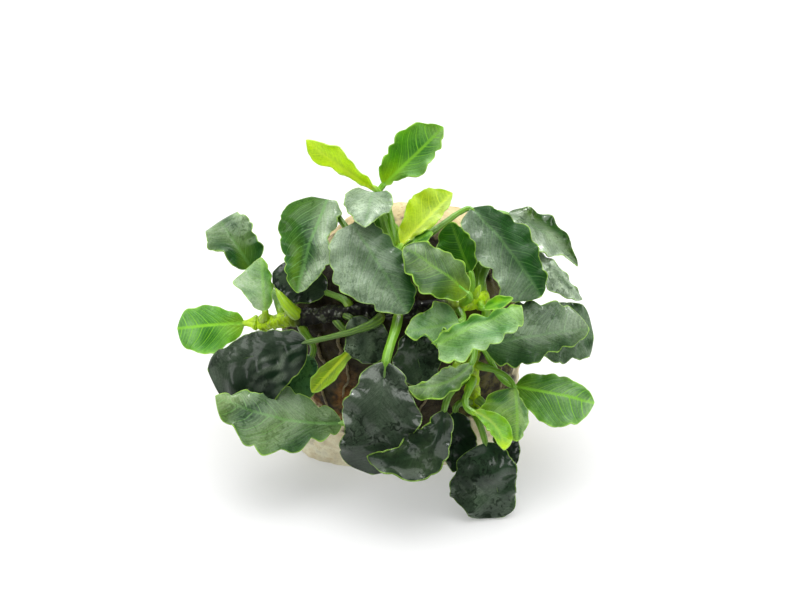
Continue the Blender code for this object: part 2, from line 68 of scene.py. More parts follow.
# The stone's shape beside its settings. Lengths are in mm here and below.
STONE_SUBDIVISIONS = 7
STONE_BLOCKINESS = 3.2                  # 2 is an ellipsoid, more is boxier
STONE_EDGE = 14                         # how tightly the worn flats meet the rest
STONE_LUMP, STONE_LUMP_SIZE = 3.8, 26
STONE_LUMP_AT = Vector((3.1, 0.4, 7.7))
STONE_PIT, STONE_PIT_SIZE = 0.7, 8
STONE_GRAIN_SIZE, STONE_POCK_SIZE = 3.2, 1.6
WET_HALF_WIDTH, WET_HALF_HEIGHT = 0.047, 0.0425     # m, of the wet patch on the front
# Worn flats on the stone: outward direction and distance from the middle of its waist.
STONE_FLATS = (
    ((-0.55, 0.05, 0.83), 54), ((0.74, -0.64, 0.20), 51), ((-0.76, -0.62, 0.12), 49),
    ((0.25, 0.80, 0.55), 51), ((-0.66, 0.74, 0.12), 43), ((0.80, 0.60, -0.05), 48),
    ((0.88, 0.10, 0.46), 52), ((0.82, -0.15, -0.55), 46), ((-0.15, 0.85, -0.50), 38),
)

# Stems, stalks and blades beside their settings.
SCAR_SPACING = 3.1                      # between the ring scars of a stem
SCAR_WIDTH = 0.16                       # share of that spacing
SCAR_WANDER = 0.25                      # share of it that a scar is out of place
TIP_LENGTH = 24                         # of a stem's end that is still green
SHOOT_STEP = 0.16                       # share of its radius that a shoot's margin stands up
ROOT_RADIUS = 0.78
ROOT_RISE = 0.9                         # of a root's middle above the stone's skin
ROOT_WANDER = (0.35, 0, 0.15)           # across, up and out
ROOT_SEEN_FROM = 200                    # where the search for the stone's skin starts
STALK_START = 0.1                       # where in its stem a stalk begins, 0 in the middle
SHEATH_RADIUS = 1.9
SHEATH_LENGTH = 6                       # how far up its stalk the sheath's colour reaches
STALK_BEND = 2.0                        # how far a stalk's corner with its blade is eased
STALK_RIDGES = 7
STRAIGHT_SHARE = 0.4                    # of a stalk's span, that each end runs straight on
STEM_END_PULL = 1.6                     # how much a stalk at a stem's end carries it on
BLADE_PULL = 1.3                        # how much a stalk starts off towards its blade
MIDRIB_GAP = 0.35                       # from the middle of the blade to the midrib's skin
GROOVE_DEPTH, GROOVE_WIDTH = 0.07, 0.6  # over the midrib
LEAST_WIDTH = 0.25                      # of half a blade near its tip
MARGIN_SLACK = 0.4                      # slope of the margin where its end curves begin
FEWEST_CELLS = (24, 16)                 # along and across a blade
WARP_LENGTH = 13                        # along a blade's broad swells
CRUMPLE_LENGTH = 2.6                    # across one of a blade's slanting crumples
CRUMPLE_HEIGHT = 0.2
CRUMPLE_SPREAD = (0.45, 0.2)            # s and t in which the crumples fade out
MARGIN_SHIFT = 0.35                     # waves by which the left margin's run ahead
LOBE_SHIFT = 0.4                        # lobes by which they do
MARGINS_APART = 37                      # so far apart that the two margins' ripples differ

# What the leaves of one tone share. vein_colour and vein_share: the colour of their veins,
# and how strongly it shows. sheen and roughness: how they shine while dry. glow: how much
# light comes through them. wet: how wet they are.
Tone = namedtuple("Tone", "vein_colour vein_share sheen roughness glow wet")
TONES = {
    "young": Tone((0.72, 0.86, 0.03), 0.45, 0.30, 0.36, 0.6, 0.05),
    "fresh": Tone((0.24, 0.56, 0.03), 0.65, 0.12, 0.38, 0.3, 0.22),
    "grown": Tone((0.13, 0.31, 0.07), 0.50, 0.06, 0.42, 0.1, 0.34),
    "dark": Tone((0.03, 0.08, 0.03), 0.30, 0.08, 0.40, 0.0, 0.85),
}

# Each rhizome, under its node's name without rhizome_: its radius, and the route of its
# middle over the stone.
RHIZOMES = {
    "main": (3.2, (
        (-53, 3, 25), (-44, 4, 33), (-34, 5, 39.5), (-20, 7, 45), (-5, 7, 47.2),
        (10, 8, 46), (22, 10, 44.8), (31, 12, 41.6),
    )),
    "upper": (3.0, ((-3, 13.9, 48.3), (-3, 20, 48.6), (-2, 27, 46.1), (-1, 33, 42.3))),
    "lower": (2.9, ((25, 3.6, 42.5), (25, -4, 41), (25, -14, 37), (26, -30, 27))),
}

# name: the leaf's node without leaf_. root: the rhizome, the share of its length, and the
# angle round it from straight out. base and tip: the two ends of the blade. right and left:
# how far each margin stands from the midrib at one, two, three and four fifths of the
# blade. facing: the way its upper face looks. tone: its colour.
# arch: degrees the blade bends back along its length. cup: rise of the margins, as a share
# of the width. ruffle: height of the margin's waves. waves and phase: how many they are,
# and where they begin. sweep: how far the midrib bows towards the right margin. blunt: how
# squarely the blade ends. shoulder: how slowly it broadens. ears: how far the margins reach
# back beyond the stalk. stalk: its radius. rise and reach: how far the stalk runs straight
# out of the rhizome, and straight on into the blade.
# lobes and lobe_length: depth of the margin's lobes, and length of one. quilt: rise between
# two lateral veins. warp: height of the blade's broad swells. droop: how far its end falls
# back. crumple: how crumpled it is, and where across and along it is so most; the crests of
# the crumples also get a painted highlight.
# shade: how light it is. gold: how far it turns to yellow-green, and gold_tip and
# gold_foot: how much further at its tip and its foot. leafy: how far a young leaf has
# turned to full green. bloom: how much painted sheen lies on it, a milky grey-green that
# stands for the shine of the light, and bloom_at: how much more so towards the right margin
# and towards the tip. veins: how much its pale veins show.
# wet: how wet it is, where that isn't its tone's. stalk_light: how light its stalk is.
# sheath: how broad and how yellow its stalk's foot is.
Leaf = namedtuple(
    "Leaf",
    "name root base tip right left facing tone"
    " arch cup ruffle waves phase sweep blunt shoulder ears stalk rise reach"
    " lobes lobe_length quilt warp droop crumple"
    " shade gold gold_tip gold_foot leafy bloom bloom_at veins wet stalk_light sheath",
    defaults=(
        20, -0.1, 0.8, 4, 0, 0, 1, 0.6, 0, 1.15, None, None,
        0.4, 5.5, 0.05, 0.5, 0, (0, 0, 0),
        1, 0, 0, 0, 0, 0, (0, 0), 0.4, None, 1, 0.3))
LEAVES = (
    # upper rhizome
    Leaf("top_left", ("upper", 0.86, -50), (-10.6, 51.5, 42), (-35, 69, 44),
         (3.5, 5, 7.8, 5), (1.2, 1.8, 2.8, 4.8), (-0.35, -0.5, 0.8), "young",
         cup=0.2, ruffle=0.5, phase=0.2, blunt=0.25, shoulder=0.9, rise=5, lobes=0.25,
         lobe_length=7, warp=0.2, veins=1, stalk_light=1.2),
    Leaf("top_right", ("upper", 1, 0), (-7.3, 53, 39), (14.4, 74, 40),
         (2.6, 6.7, 5.9, 4.7), (6.8, 8.6, 10, 8), (0.1, -0.1, 1), "fresh",
         arch=15, cup=0.1, ruffle=0.9, blunt=0.4, shoulder=0.8, lobes=1, quilt=0.1, warp=0.8,
         shade=0.95, gold=0.04, gold_tip=0.15, gold_foot=0.5, bloom=0.12, bloom_at=(1.5, 1.2),
         veins=1.2, stalk_light=1.3),
    Leaf("top_small", ("upper", 0.64, -30), (-10.9, 50, 47), (-13.6, 37, 60),
         (9.7, 9.3, 7.6, 5), (7.7, 8.1, 6.3, 3), (0, 0.7, 0.7), "grown",
         arch=25, ruffle=0.5, phase=0.3, blunt=0.3, shoulder=0.4, ears=4, rise=4, reach=8,
         lobes=0.25, shade=1.3, bloom=0.8, veins=0.5),
    Leaf("upper_left", ("upper", 0.34, -60), (-27.5, 47.8, 38), (-38, 14, 48),
         (15.5, 14.5, 10.6, 6.7), (7, 5.8, 8.8, 6.2), (-0.2, 0.35, 0.9), "grown",
         arch=35, cup=-0.2, ruffle=1.1, phase=0.1, ears=2, rise=7, reach=0.5, lobes=1, warp=0.9,
         shade=1.4, gold=0.04, gold_tip=0.05, bloom=0.2, bloom_at=(-4.5, -0.3), veins=1.2,
         wet=0.45, stalk_light=0.7),
    Leaf("centre", ("upper", 0.12, -50), (-18.4, 38.6, 50.6), (1.6, 6.8, 59),
         (13.5, 16.5, 15, 9.3), (8, 9.5, 9.4, 7.2), (0, 0.35, 0.93), "grown",
         arch=25, cup=-0.12, ruffle=1, waves=5, phase=0.5, ears=2, rise=4, reach=0.5, lobes=1.1,
         lobe_length=6, warp=0.7, bloom=0.34, bloom_at=(0.9, -0.4), veins=0.5),
    Leaf("upper_young", ("upper", 0.45, 35), (-0.8, 31.3, 50), (17.7, 50, 43),
         (1.6, 3.4, 3.6, 2.8), (5.2, 8.2, 9, 7.2), (-0.25, -0.15, 1), "young",
         arch=12, cup=0.15, ruffle=0.7, blunt=0.4, shoulder=0.8, lobes=0.45, warp=0.3, shade=0.72,
         gold_foot=0.2, bloom=0.08, bloom_at=(0.9, 0.5), veins=1, stalk_light=1.3),
    Leaf("top_inner", ("upper", 0.5, -95), (-9.5, 34, 42.5), (-14, 43, 38),
         (3, 4.5, 4.3, 3), (3, 4.5, 4.3, 3), (0.2, 0.1, 1), "fresh",
         arch=10, cup=0, ruffle=0.3, shade=0.5, veins=1),
    Leaf("upper_tiny", ("upper", 0.75, 55), (4, 32.5, 48), (10.5, 35.5, 47.5),
         (1.8, 2.5, 2.2, 1.4), (1.8, 2.5, 2.2, 1.4), (0, 0.4, 0.9), "fresh",
         arch=10, cup=0, ruffle=0.2, shade=0.8, veins=1),
    Leaf("upper_right", ("upper", 0.9, 80), (25, 44.6, 36), (49.4, 12.5, 46),
         (10.9, 14.2, 10.2, 12.6), (8.7, 12.1, 10.2, 7.3), (0.25, 0.35, 0.9), "grown",
         arch=30, ruffle=1.3, waves=5, phase=0.7, blunt=1.5, stalk=1, rise=9, reach=5, lobes=1.2,
         lobe_length=6, warp=1, shade=0.9, bloom=0.09, bloom_at=(4.5, -0.2), veins=0.5, wet=0.22),
    # right end of the main rhizome
    Leaf("centre_right", ("main", 0.84, -5), (23, 14, 55), (-0.1, 29.9, 58),
         (6, 7.5, 7, 6), (7.2, 10.7, 10.8, 7.2), (0.1, 0.4, 0.92), "fresh",
         arch=25, cup=0.1, ruffle=1.2, phase=0.2, blunt=0.9, lobes=1, warp=1.8, shade=0.3,
         gold=0.04, gold_foot=0.2, bloom=0.17, bloom_at=(0.6, 1.2), wet=0.1, stalk_light=1.1),
    Leaf("upper_inner", ("main", 0.89, -75), (24, 21.5, 47), (17.2, 39.5, 45),
         (4, 5.5, 5, 3), (5, 8, 9, 6.4), (-0.3, 0, 0.95), "fresh",
         arch=15, cup=0.05, ruffle=0.7, phase=0.4, lobes=0.8, shade=0.36, veins=0.25),
    Leaf("far_upper_right", ("main", 0.98, -84), (39, 43.4, 22), (64.8, 24, 18),
         (8, 10, 8.6, 2), (7.2, 10.5, 9.4, 6.6), (0.35, 0.6, 0.7), "grown",
         arch=40, ruffle=0.9, phase=0.1, blunt=0.6, lobes=0.6, warp=1.2, shade=0.9, gold=0.03,
         bloom=0.5, bloom_at=(1.5, 0), veins=0.3, wet=0.8),
    Leaf("far_right", ("main", 0.95, -50), (46.7, 28, 26), (66, 11.5, 24),
         (6, 6.8, 6.4, 4), (4.6, 4, 3, 1.7), (0.3, 0.45, 0.8), "grown",
         arch=25, phase=0.6, stalk=1.35, shade=1.1, bloom=0.9, veins=0.2, wet=0.7,
         stalk_light=0.9),
    Leaf("right_young", ("main", 0.94, 20), (29, 8.5, 50), (39.1, 12.1, 52),
         (1.8, 2.6, 2.4, 1.4), (1.8, 2.6, 2.4, 1.4), (-0.1, 0.3, 0.95), "fresh",
         arch=10, cup=0.2, ruffle=0.2, lobes=0.15, warp=0.1, shade=1.1, gold=0.1, veins=0.8,
         stalk_light=1.2),
    Leaf("middle_small", ("main", 0.82, 40), (19.8, 3.6, 54), (0.6, -0.3, 58),
         (7.4, 9, 5.2, 4.1), (2.5, 4.2, 6, 3.4), (0, 0.35, 0.93), "fresh",
         arch=10, cup=0.15, ruffle=1.3, waves=3, lobes=3.6, lobe_length=8.5, warp=1.2, shade=0.75,
         gold=0.03, bloom=0.32, veins=0.3, sheath=0),
    Leaf("front_right", ("main", 0.775, 66), (11.9, -4.4, 65), (41.4, 9.3, 66),
         (10, 9.7, 10, 8.5), (2.9, 4.2, 2.4, 2), (-0.05, 0.5, 0.86), "fresh",
         arch=15, cup=0.05, ruffle=1.2, blunt=1.8, shoulder=0.4, ears=3, reach=0.5, lobes=1.6,
         warp=1.2, shade=0.85, gold=0.05, gold_tip=0.15, gold_foot=0.1, bloom=0.25,
         bloom_at=(0.8, -0.3), veins=0.35, sheath=0),
    Leaf("right", ("main", 0.98, 70), (29, -4.8, 50), (66.7, 0.9, 46),
         (9.4, 9.7, 7, 5.5), (10, 14, 12.4, 11.2), (0.1, 0.35, 0.93), "grown",
         arch=25, ruffle=1.2, waves=5, phase=0.3, lobes=1.4, lobe_length=7, warp=0.9, shade=0.8,
         gold=0.01, gold_tip=0.02, bloom=0.18, bloom_at=(-0.6, 0.6), veins=0.35),
    Leaf("right_back", ("main", 1, 0), (46.7, 0.4, 32), (70.4, -2.4, 22),
         (10, 12.5, 10, 9.3), (9, 11, 12, 12), (0.35, 0.3, 0.9), "grown",
         arch=50, phase=0.8, blunt=2.5, lobes=1, lobe_length=8, shade=0.9, bloom=0.28, veins=0.3,
         stalk_light=0.9),
    # lower rhizome
    Leaf("lower_right", ("lower", 0.3, -75), (40.9, -20.1, 37), (69.3, -26, 38),
         (7.8, 11.5, 12, 9.6), (6, 7.2, 7, 5.4), (0.1, 0.3, 0.95), "fresh",
         cup=0, ruffle=0.9, phase=0.3, stalk=1, rise=6, lobes=0.5, quilt=0.12, warp=0.8,
         shade=0.75, gold=0.03, gold_tip=0.02, gold_foot=0.15, bloom=0.2, bloom_at=(0, 1),
         veins=1.4, stalk_light=1.5, sheath=0.1),
    Leaf("lower_right_inner", ("lower", 0.6, -40), (40.2, -20.4, 44), (40.6, -39.1, 50),
         (10.5, 13, 9, 5.5), (1.8, 4.2, 4.4, 3.1), (0.25, 0.3, 0.92), "fresh",
         arch=30, cup=-0.15, stalk=0.85, lobes=0.7, shade=0.55, gold=0.12, gold_tip=0.1,
         bloom=0.22, bloom_at=(-0.9, 0), veins=0.6),
    Leaf("lower_young", ("lower", 0.72, -10), (25.3, -28.5, 52), (35.7, -41.8, 56),
         (2.5, 3.5, 3.5, 2.7), (2.5, 4, 4.5, 3.5), (0.3, 0.2, 0.9), "young",
         cup=0.25, ruffle=0.4, sweep=-2.8, warp=0.3, shade=1.1, gold_tip=0.9, gold_foot=0.1,
         leafy=0.85, stalk_light=1.2),
    Leaf("bottom_right", ("lower", 0.95, 0), (29.5, -39.8, 48), (36.2, -67.2, 38.5),
         (12.5, 16, 16.5, 12.5), (6.8, 8.8, 7.6, 6), (0.1, -0.1, 1), "dark",
         arch=35, cup=-0.15, ruffle=1, phase=0.2, blunt=2.5, lobes=0.6, lobe_length=7, warp=2,
         crumple=(0.4, 0.6, 0.5), shade=1.7, bloom=0.055, bloom_at=(0.4, 1), veins=0.3,
         stalk_light=0.7),
    Leaf("bottom_back", ("lower", 0.88, -60), (34.5, -35, 38), (40.2, -49.1, 36),
         (3.5, 5.2, 5.2, 4), (3.5, 5.2, 5.2, 4), (0.3, 0.2, 0.9), "dark",
         arch=25, ruffle=0.6, shade=0.9, veins=0.3, stalk_light=0.6),
    Leaf("bottom_inner", ("lower", 0.9, 50), (18.7, -29.1, 40), (18.1, -51.2, 36),
         (3.2, 3.9, 3.9, 2.6), (6, 8, 8, 4.5), (0, 0, 1), "dark",
         arch=25, ruffle=0.6, phase=0.3, veins=0.3, stalk_light=0.6),
    Leaf("bottom_folded", ("lower", 0.7, 50), (14.6, -28.1, 52), (-12.9, -43.4, 63.5),
         (5, 8, 7, 3.6), (5.5, 8.5, 9.5, 6), (-0.2, 0.1, 1), "dark",
         cup=0.1, ruffle=1.1, phase=0.5, sweep=-8.7, lobes=0.9, warp=1.8, shade=1.1, gold=0.005,
         bloom=0.02, wet=0.5, stalk_light=0.8),
    Leaf("lower_middle", ("lower", 0.2, 20), (24.2, -11.5, 50), (1.6, -19.5, 56),
         (3.2, 5, 3.7, 1.4), (3.3, 4.5, 5.4, 5), (0, 0.4, 0.92), "fresh",
         arch=15, cup=0.15, ruffle=1, sweep=-3.5, lobes=0.8, shade=0.4, gold=0.05, gold_tip=0.1,
         bloom=0.34, bloom_at=(0.9, 0)),
    # middle of the main rhizome
    Leaf("bottom_centre", ("main", 0.6, 10), (-6.2, -10.6, 60), (-11.2, -50.6, 54),
         (9, 13.2, 11.5, 12.4), (9.3, 15, 13, 10), (-0.05, 0.15, 1), "dark",
         arch=55, cup=-0.12, ruffle=1.2, waves=5, phase=0.4, blunt=1.8, stalk=1.6, lobes=0.9,
         lobe_length=6.5, warp=1.5, bloom=0.085, bloom_at=(0.3, -0.7), veins=0.3),
    Leaf("middle_left", ("main", 0.42, 90), (-18.4, 4.9, 50), (-8.4, -10.5, 48),
         (5, 8, 8, 6), (5, 8, 8, 6), (-0.1, 0.3, 0.95), "dark",
         arch=10, phase=0.1, rise=3, reach=2, warp=1.2, shade=1.6, gold=0.005, bloom=0.2,
         bloom_at=(0, -0.7), stalk_light=0.25, sheath=0),
    Leaf("middle_right", ("main", 0.7, 60), (2.4, 0, 49), (7.8, -19.6, 46),
         (6, 9, 9, 6.5), (6, 9, 9, 6.5), (0.1, 0.25, 0.95), "dark",
         arch=15, phase=0.2, warp=1.2, shade=1.6, gold=0.005, bloom=0.06, stalk_light=0.5,
         sheath=0),
    Leaf("left_young", ("main", 0.38, 70), (-17.8, -5.5, 46), (-33, -21.9, 42),
         (1.3, 2.5, 3.5, 3.4), (2.2, 3, 3.5, 2.6), (-0.1, 0.2, 1), "young",
         arch=15, cup=0.4, ruffle=0.2, lobes=0.15, warp=0.1, shade=0.6, leafy=0.6, veins=1.1,
         stalk_light=0.4, sheath=0),
    Leaf("lower_left", ("main", 0.53, 108), (-22.3, -33.2, 39), (-67.4, -23, 47),
         (8, 12.5, 11, 6.5), (6.3, 12.5, 14, 9.5), (-0.05, 0.45, 0.88), "grown",
         arch=15, cup=-0.05, ruffle=0.45, waves=6, phase=0.2, sweep=-4, blunt=0.5, rise=8,
         lobes=2.6, lobe_length=8.5, shade=1.1, gold=0.04, gold_tip=0.12, gold_foot=0.05,
         bloom=0.2, bloom_at=(0.4, 0), veins=1),
    Leaf("left_dark", ("main", 0.55, -70), (-34.7, -3.7, 48), (-71.2, -14.1, 34),
         (6.7, 8.5, 9, 6.5), (11, 16.5, 18.5, 16), (-0.2, 0.2, 0.95), "dark",
         arch=25, cup=-0.26, ruffle=0.9, waves=5, blunt=2.5, stalk=0.95, lobes=0.7, lobe_length=9,
         warp=1.8, crumple=(1, -0.5, 0.28), shade=0.9, bloom=0.04, bloom_at=(1.3, 1.2), veins=0.2,
         wet=0.5, stalk_light=0.35, sheath=0.8),
    # left end of the main rhizome
    Leaf("left_under", ("main", 0.44, -50), (-28, 14.3, 41), (-47.5, 21.6, 32),
         (6, 10, 10, 7), (6, 9, 9, 6), (-0.1, 0.3, 0.95), "dark",
         phase=0.5, shade=1.3, gold=0.005, bloom=0.04, stalk_light=0.7),
    Leaf("left_inner", ("main", 0.24, 70), (-33.2, -9, 38), (-43.5, -26, 36),
         (5, 8.5, 9, 7), (5, 8, 8, 6), (-0.1, 0.3, 0.95), "dark",
         ruffle=0.6, phase=0.5, shade=6, gold=0.03, stalk_light=0.5),
    Leaf("far_left", ("main", 0, 0), (-58.8, 2.9, 22), (-84.1, 0.7, 16),
         (4.9, 7, 7.8, 7), (7, 10.3, 10.8, 8.6), (-0.2, 0.2, 0.95), "fresh",
         cup=0, ruffle=0.6, blunt=1.5, rise=1.2, reach=1.2, lobes=0.35, quilt=0.1, gold=0.03,
         gold_foot=0.4, bloom=0.12, bloom_at=(0, 0.9), veins=1.6, stalk_light=1.4, sheath=2),
    Leaf("left_small", ("main", 0.06, -30), (-50.4, 7.5, 34), (-51.8, 26.9, 32),
         (2.7, 3.4, 3.3, 2.4), (5.5, 8.2, 11.2, 6.4), (-0.1, -0.1, 1), "fresh",
         cup=-0.2, ruffle=0.5, blunt=0.4, lobes=0.5, gold=0.1, gold_tip=0.15, gold_foot=0.3,
         bloom=0.6, bloom_at=(-0.9, -0.2), veins=0.5, sheath=2),
    Leaf("upper_far_left", ("main", 0.14, -80), (-56.5, 23.4, 18), (-70.1, 43.1, 10),
         (8.2, 7.8, 9.6, 8), (5.7, 5.7, 9.3, 7.2), (-0.1, 0.3, 0.95), "grown",
         arch=50, ruffle=0.7, phase=0.3, blunt=6, lobes=0.8, droop=3.5, shade=1.3, gold=0.05,
         bloom=0.18, bloom_at=(0, 2.2), veins=0.5, wet=0.5),
)

# Rolled new leaves: radius, and the route from the rhizome to the point.
SHOOTS = {
    "shoot_left": (2.5, ((-36, 4.5, 35.5), (-41, 8.5, 40.5), (-46.5, 16, 41))),
    "shoot_right": (1.3, ((25.5, 12, 48.6), (26.5, 14.5, 50.5), (27.5, 17, 51.5))),
    "shoot_lower": (1.3, ((21.5, -9, 41.5), (19, -11.5, 44), (17.5, -14, 45))),
}
# A shoot's thickness along it, as a share of its radius.
SHOOT_PLACES = (0, 0.04, 0.3, 0.6, 0.85, 1)
SHOOT_SIZES = (0, 0.75, 1, 0.82, 0.45, 0)

# Roots gripping the stone: the way each one runs over its face, across and up.
ROOTS = {
    "root_1": ((-30, 0), (-31, -6), (-28, -13), (-30, -21), (-27, -28)),
    "root_2": ((-22, 2), (-23, -6), (-20, -14), (-22, -24)),
    "root_3": ((-12, 13), (-14, 20), (-12, 27), (-15, 33)),
    "root_4": ((8, 2), (9, -6), (6, -14), (8, -24), (5, -32)),
    "root_5": ((33, 8), (36, 4), (37, -4), (35, -12), (37, -18)),
    "root_6": ((31, 18), (33, 23), (31, 29)),
}


# ---------------------------------------------------------------- settings

def amount(name, description, default, **kind):
    return FloatProperty(name=name, description=description, default=default, **kind)


def measure(name, description, default):
    return amount(name, description, default, subtype="DISTANCE", unit="LENGTH")


def paint(name, description, default):
    return FloatVectorProperty(
        name=name, description=description, default=default, subtype="COLOR")


class StoneSettings(bpy.types.PropertyGroup):
    half_width: measure("Half width", "From the middle of the stone to its side", 0.046)
    half_depth: measure("Half depth", "From the middle to the front or the back", 0.036)
    waist: measure("Waist", "Height of the stone's widest level", 0.030)
    top: measure("Top", "From the waist to the top", 0.061)
    foot: measure("Foot", "From the waist to where the sides would close", 0.054)
    grain: measure("Grain", "Height of the worn pits and grains", 0.0006)
    dry_colour: paint("Dry", "Dry stone on the top and at the foot", (0.94, 0.89, 0.66))
    warm_colour: paint("Warm", "Warmer bands in the dry stone", (0.72, 0.60, 0.37))
    grey_colour: paint("Grey", "Grey patches in the dry stone", (0.56, 0.54, 0.45))
    # Wet stone's own dark brown, made near black as painted shade under the plant.
    wet_and_painted_shade_colour: paint("Wet", "Wet stone under the plant", (0.020, 0.013, 0.004))
    moss_colour: paint("Moss", "Thin moss on the wet stone", (0.085, 0.070, 0.006))
    rust_colour: paint("Rust", "Orange-brown patches in wet stone", (0.19, 0.075, 0.010))


class LeafSettings(bpy.types.PropertyGroup):
    thickness: measure("Thickness", "Thickness of a blade", 0.00042)
    cell: measure("Cell", "Size of the mesh cells of a blade", 0.00036)
    vein_spacing: measure("Vein spacing", "Between lateral veins at the midrib", 0.0060)
    young_colour: paint("Young", "Newest leaves", (0.56, 0.78, 0.0))
    fresh_colour: paint("Fresh", "Bright green leaves", (0.045, 0.25, 0.003))
    grown_colour: paint("Grown", "Full green leaves", (0.010, 0.060, 0.007))
    dark_colour: paint("Dark", "Oldest leaves", (0.004, 0.016, 0.005))
    # Painted sheen: a milky grey-green put into some leaves' colour for the shine of the light on
    # them.
    painted_sheen_colour: paint("Bloom", "Milky film on some leaves", (0.40, 0.50, 0.35))
    stalk_colour: paint("Stalk", "Stalks and midribs", (0.15, 0.36, 0.012))
    sheath_colour: paint("Sheath", "Clasping feet of the stalks", (0.38, 0.56, 0.008))
    rim_colour: paint("Rim", "Thin pale line along the margins", (0.32, 0.56, 0.07))


class StemSettings(bpy.types.PropertyGroup):
    # The stems' own dark colour, made near black as painted shade where they lie among the leaves.
    rhizome_and_painted_shade_colour: paint("Rhizome", "Creeping stems", (0.003, 0.003, 0.0015))
    scar_colour: paint("Scar", "Ring scars on the stems", (0.007, 0.006, 0.002))
    tip_colour: paint("Tip", "Growing ends of the stems", (0.42, 0.66, 0.010))
    root_colour: paint("Root", "Roots", (0.17, 0.13, 0.055))
    shoot_colour: paint("Shoot", "Rolled new leaves", (0.30, 0.50, 0.008))


class StageSettings(bpy.types.PropertyGroup):
    lens: amount("Lens", "Focal length of the camera", 100, min=1, unit="CAMERA")
    distance: measure("Distance", "From the planted front to the camera", 0.838)
    floor_size: measure("Floor", "Length of the floor's sides", 5.0)
    floor_colour: paint("Floor colour", "Colour of the floor", (0.56, 0.56, 0.56))
    floor_glow: amount("Floor glow", "How brightly the light table shines", 0.24)
    overhead_tilt: amount("Overhead tilt", "Degrees the overhead light leans back", 7)
    overhead_power: amount("Overhead", "Strength of the broad overhead light", 3.8)
    overhead_shine: amount("Overhead shine", "Strength of the overhead light in shines", 5.2)
    top_power: amount("Top", "Strength of the narrower light straight above", 0.8)
    glint_power: amount("Glint", "Strength of the light that makes glints", 1.5)
    back_power: amount("Back", "Strength of the light behind the plant", 0.5)
    fill_power: amount("Fill", "Strength of the shineless front light", 0.4)
    side_power: amount("Side", "Power of each strip light", 2.0, unit="POWER")
    air_strength: amount("Surroundings", "Strength of the light all round", 0.08)


# ---------------------------------------------------------------- shader maths

def maths(operation, swapped=False):
    """A method that adds a Math node, which takes the other value first where swapped."""
    def method(signal, *others):
        values = (*others, signal) if swapped else (signal, *others)
        sockets = dict(enumerate(values))
        return signal.finish.node("ShaderNodeMath", {"operation": operation}, sockets)
    return method


class Signal:
    """An output of a shader node, with Python's operators, each of which adds a Math node."""
    __add__, __radd__ = maths("ADD"), maths("ADD", True)
    __sub__, __rsub__ = maths("SUBTRACT"), maths("SUBTRACT", True)
    __mul__, __rmul__ = maths("MULTIPLY"), maths("MULTIPLY", True)
    __truediv__, __pow__ = maths("DIVIDE"), maths("POWER")
    __abs__, fraction = maths("ABSOLUTE"), maths("FRACT")

    def __init__(self, finish, output):
        self.finish = finish
        self.output = output

    def step(self, low, high):
        """0 below low, 1 above high, and a smooth rise between; high may be the lower one."""
        settings = {"interpolation_type": "SMOOTHSTEP"}
        sockets = {"Value": self, "From Min": low, "From Max": high}
        return self.finish.node("ShaderNodeMapRange", settings, sockets)

    def between(self, low, high):
        """Maps 0 to 1 onto low to high."""
        return self * (high - low) + low

    def lines(self, low, high):
        """Lines at the whole numbers of the signal. low and high say where one rises, on the
        way from the middle between two numbers, 0, to the next number, 1."""
        return (abs(self.fraction() - 0.5) * 2).step(low, high)


class Finish:
    """A material with a Principled shader, and the nodes that feed it."""

    def __init__(self, name, **constants):
        self.material = bpy.data.materials.new(name)
        self.material.use_nodes = True
        self.tree = self.material.node_tree
        self.surface = self.tree.nodes["Principled BSDF"]
        self.wear(**constants)

    def wear(self, **values):
        """Feeds the shader's own sockets, which are named with _ for a space."""
        for name, value in values.items():
            self.feed(self.surface.inputs[name.replace("_", " ")], value)
        return self.material

    def feed(self, socket, value):
        if isinstance(value, Signal):
            self.tree.links.new(value.output, socket)
        elif socket.type == "RGBA":
            socket.default_value = (*value[:3], 1)
        else:
            socket.default_value = value

    def node(self, kind, settings=None, sockets=None, output=0):
        made = self.tree.nodes.new(kind)
        for key, value in (settings or {}).items():
            setattr(made, key, value)
        for key, value in (sockets or {}).items():
            self.feed(made.inputs[key], value)
        return Signal(self, made.outputs[output])

    def places(self, kind="Object"):
        return self.node("ShaderNodeTexCoord", output=kind)

    def axes(self, vector):
        """The three parts of a vector."""
        parts = self.node("ShaderNodeSeparateXYZ", sockets={0: vector}).output.node.outputs
        return [Signal(self, part) for part in parts]

    def attribute(self, name, output="Fac"):
        return self.node("ShaderNodeAttribute", {"attribute_name": name}, output=output)

    def noise(self, size, detail=2, roughness=0.5, places=None, distortion=0):
        """Soft noise from 0 to 1 with lumps of the given size in millimetres."""
        return self.node("ShaderNodeTexNoise", sockets={
            "Vector": places or self.places(), "Scale": 1 / (size * MM), "Detail": detail,
            "Roughness": roughness, "Distortion": distortion})

    def mix(self, share, first, second, blend="MIX"):
        settings = {"data_type": "RGBA", "blend_type": blend}
        return self.node("ShaderNodeMix", settings, {0: share, 6: first, 7: second}, output=2)

    def darken(self, share, colour, by):
        return self.mix(share, colour, by, "MULTIPLY")

    def bump(self, height, distance, strength):
        return self.node("ShaderNodeBump", sockets={
            "Height": height, "Distance": distance * MM, "Strength": strength})


# ---------------------------------------------------------------- finishes

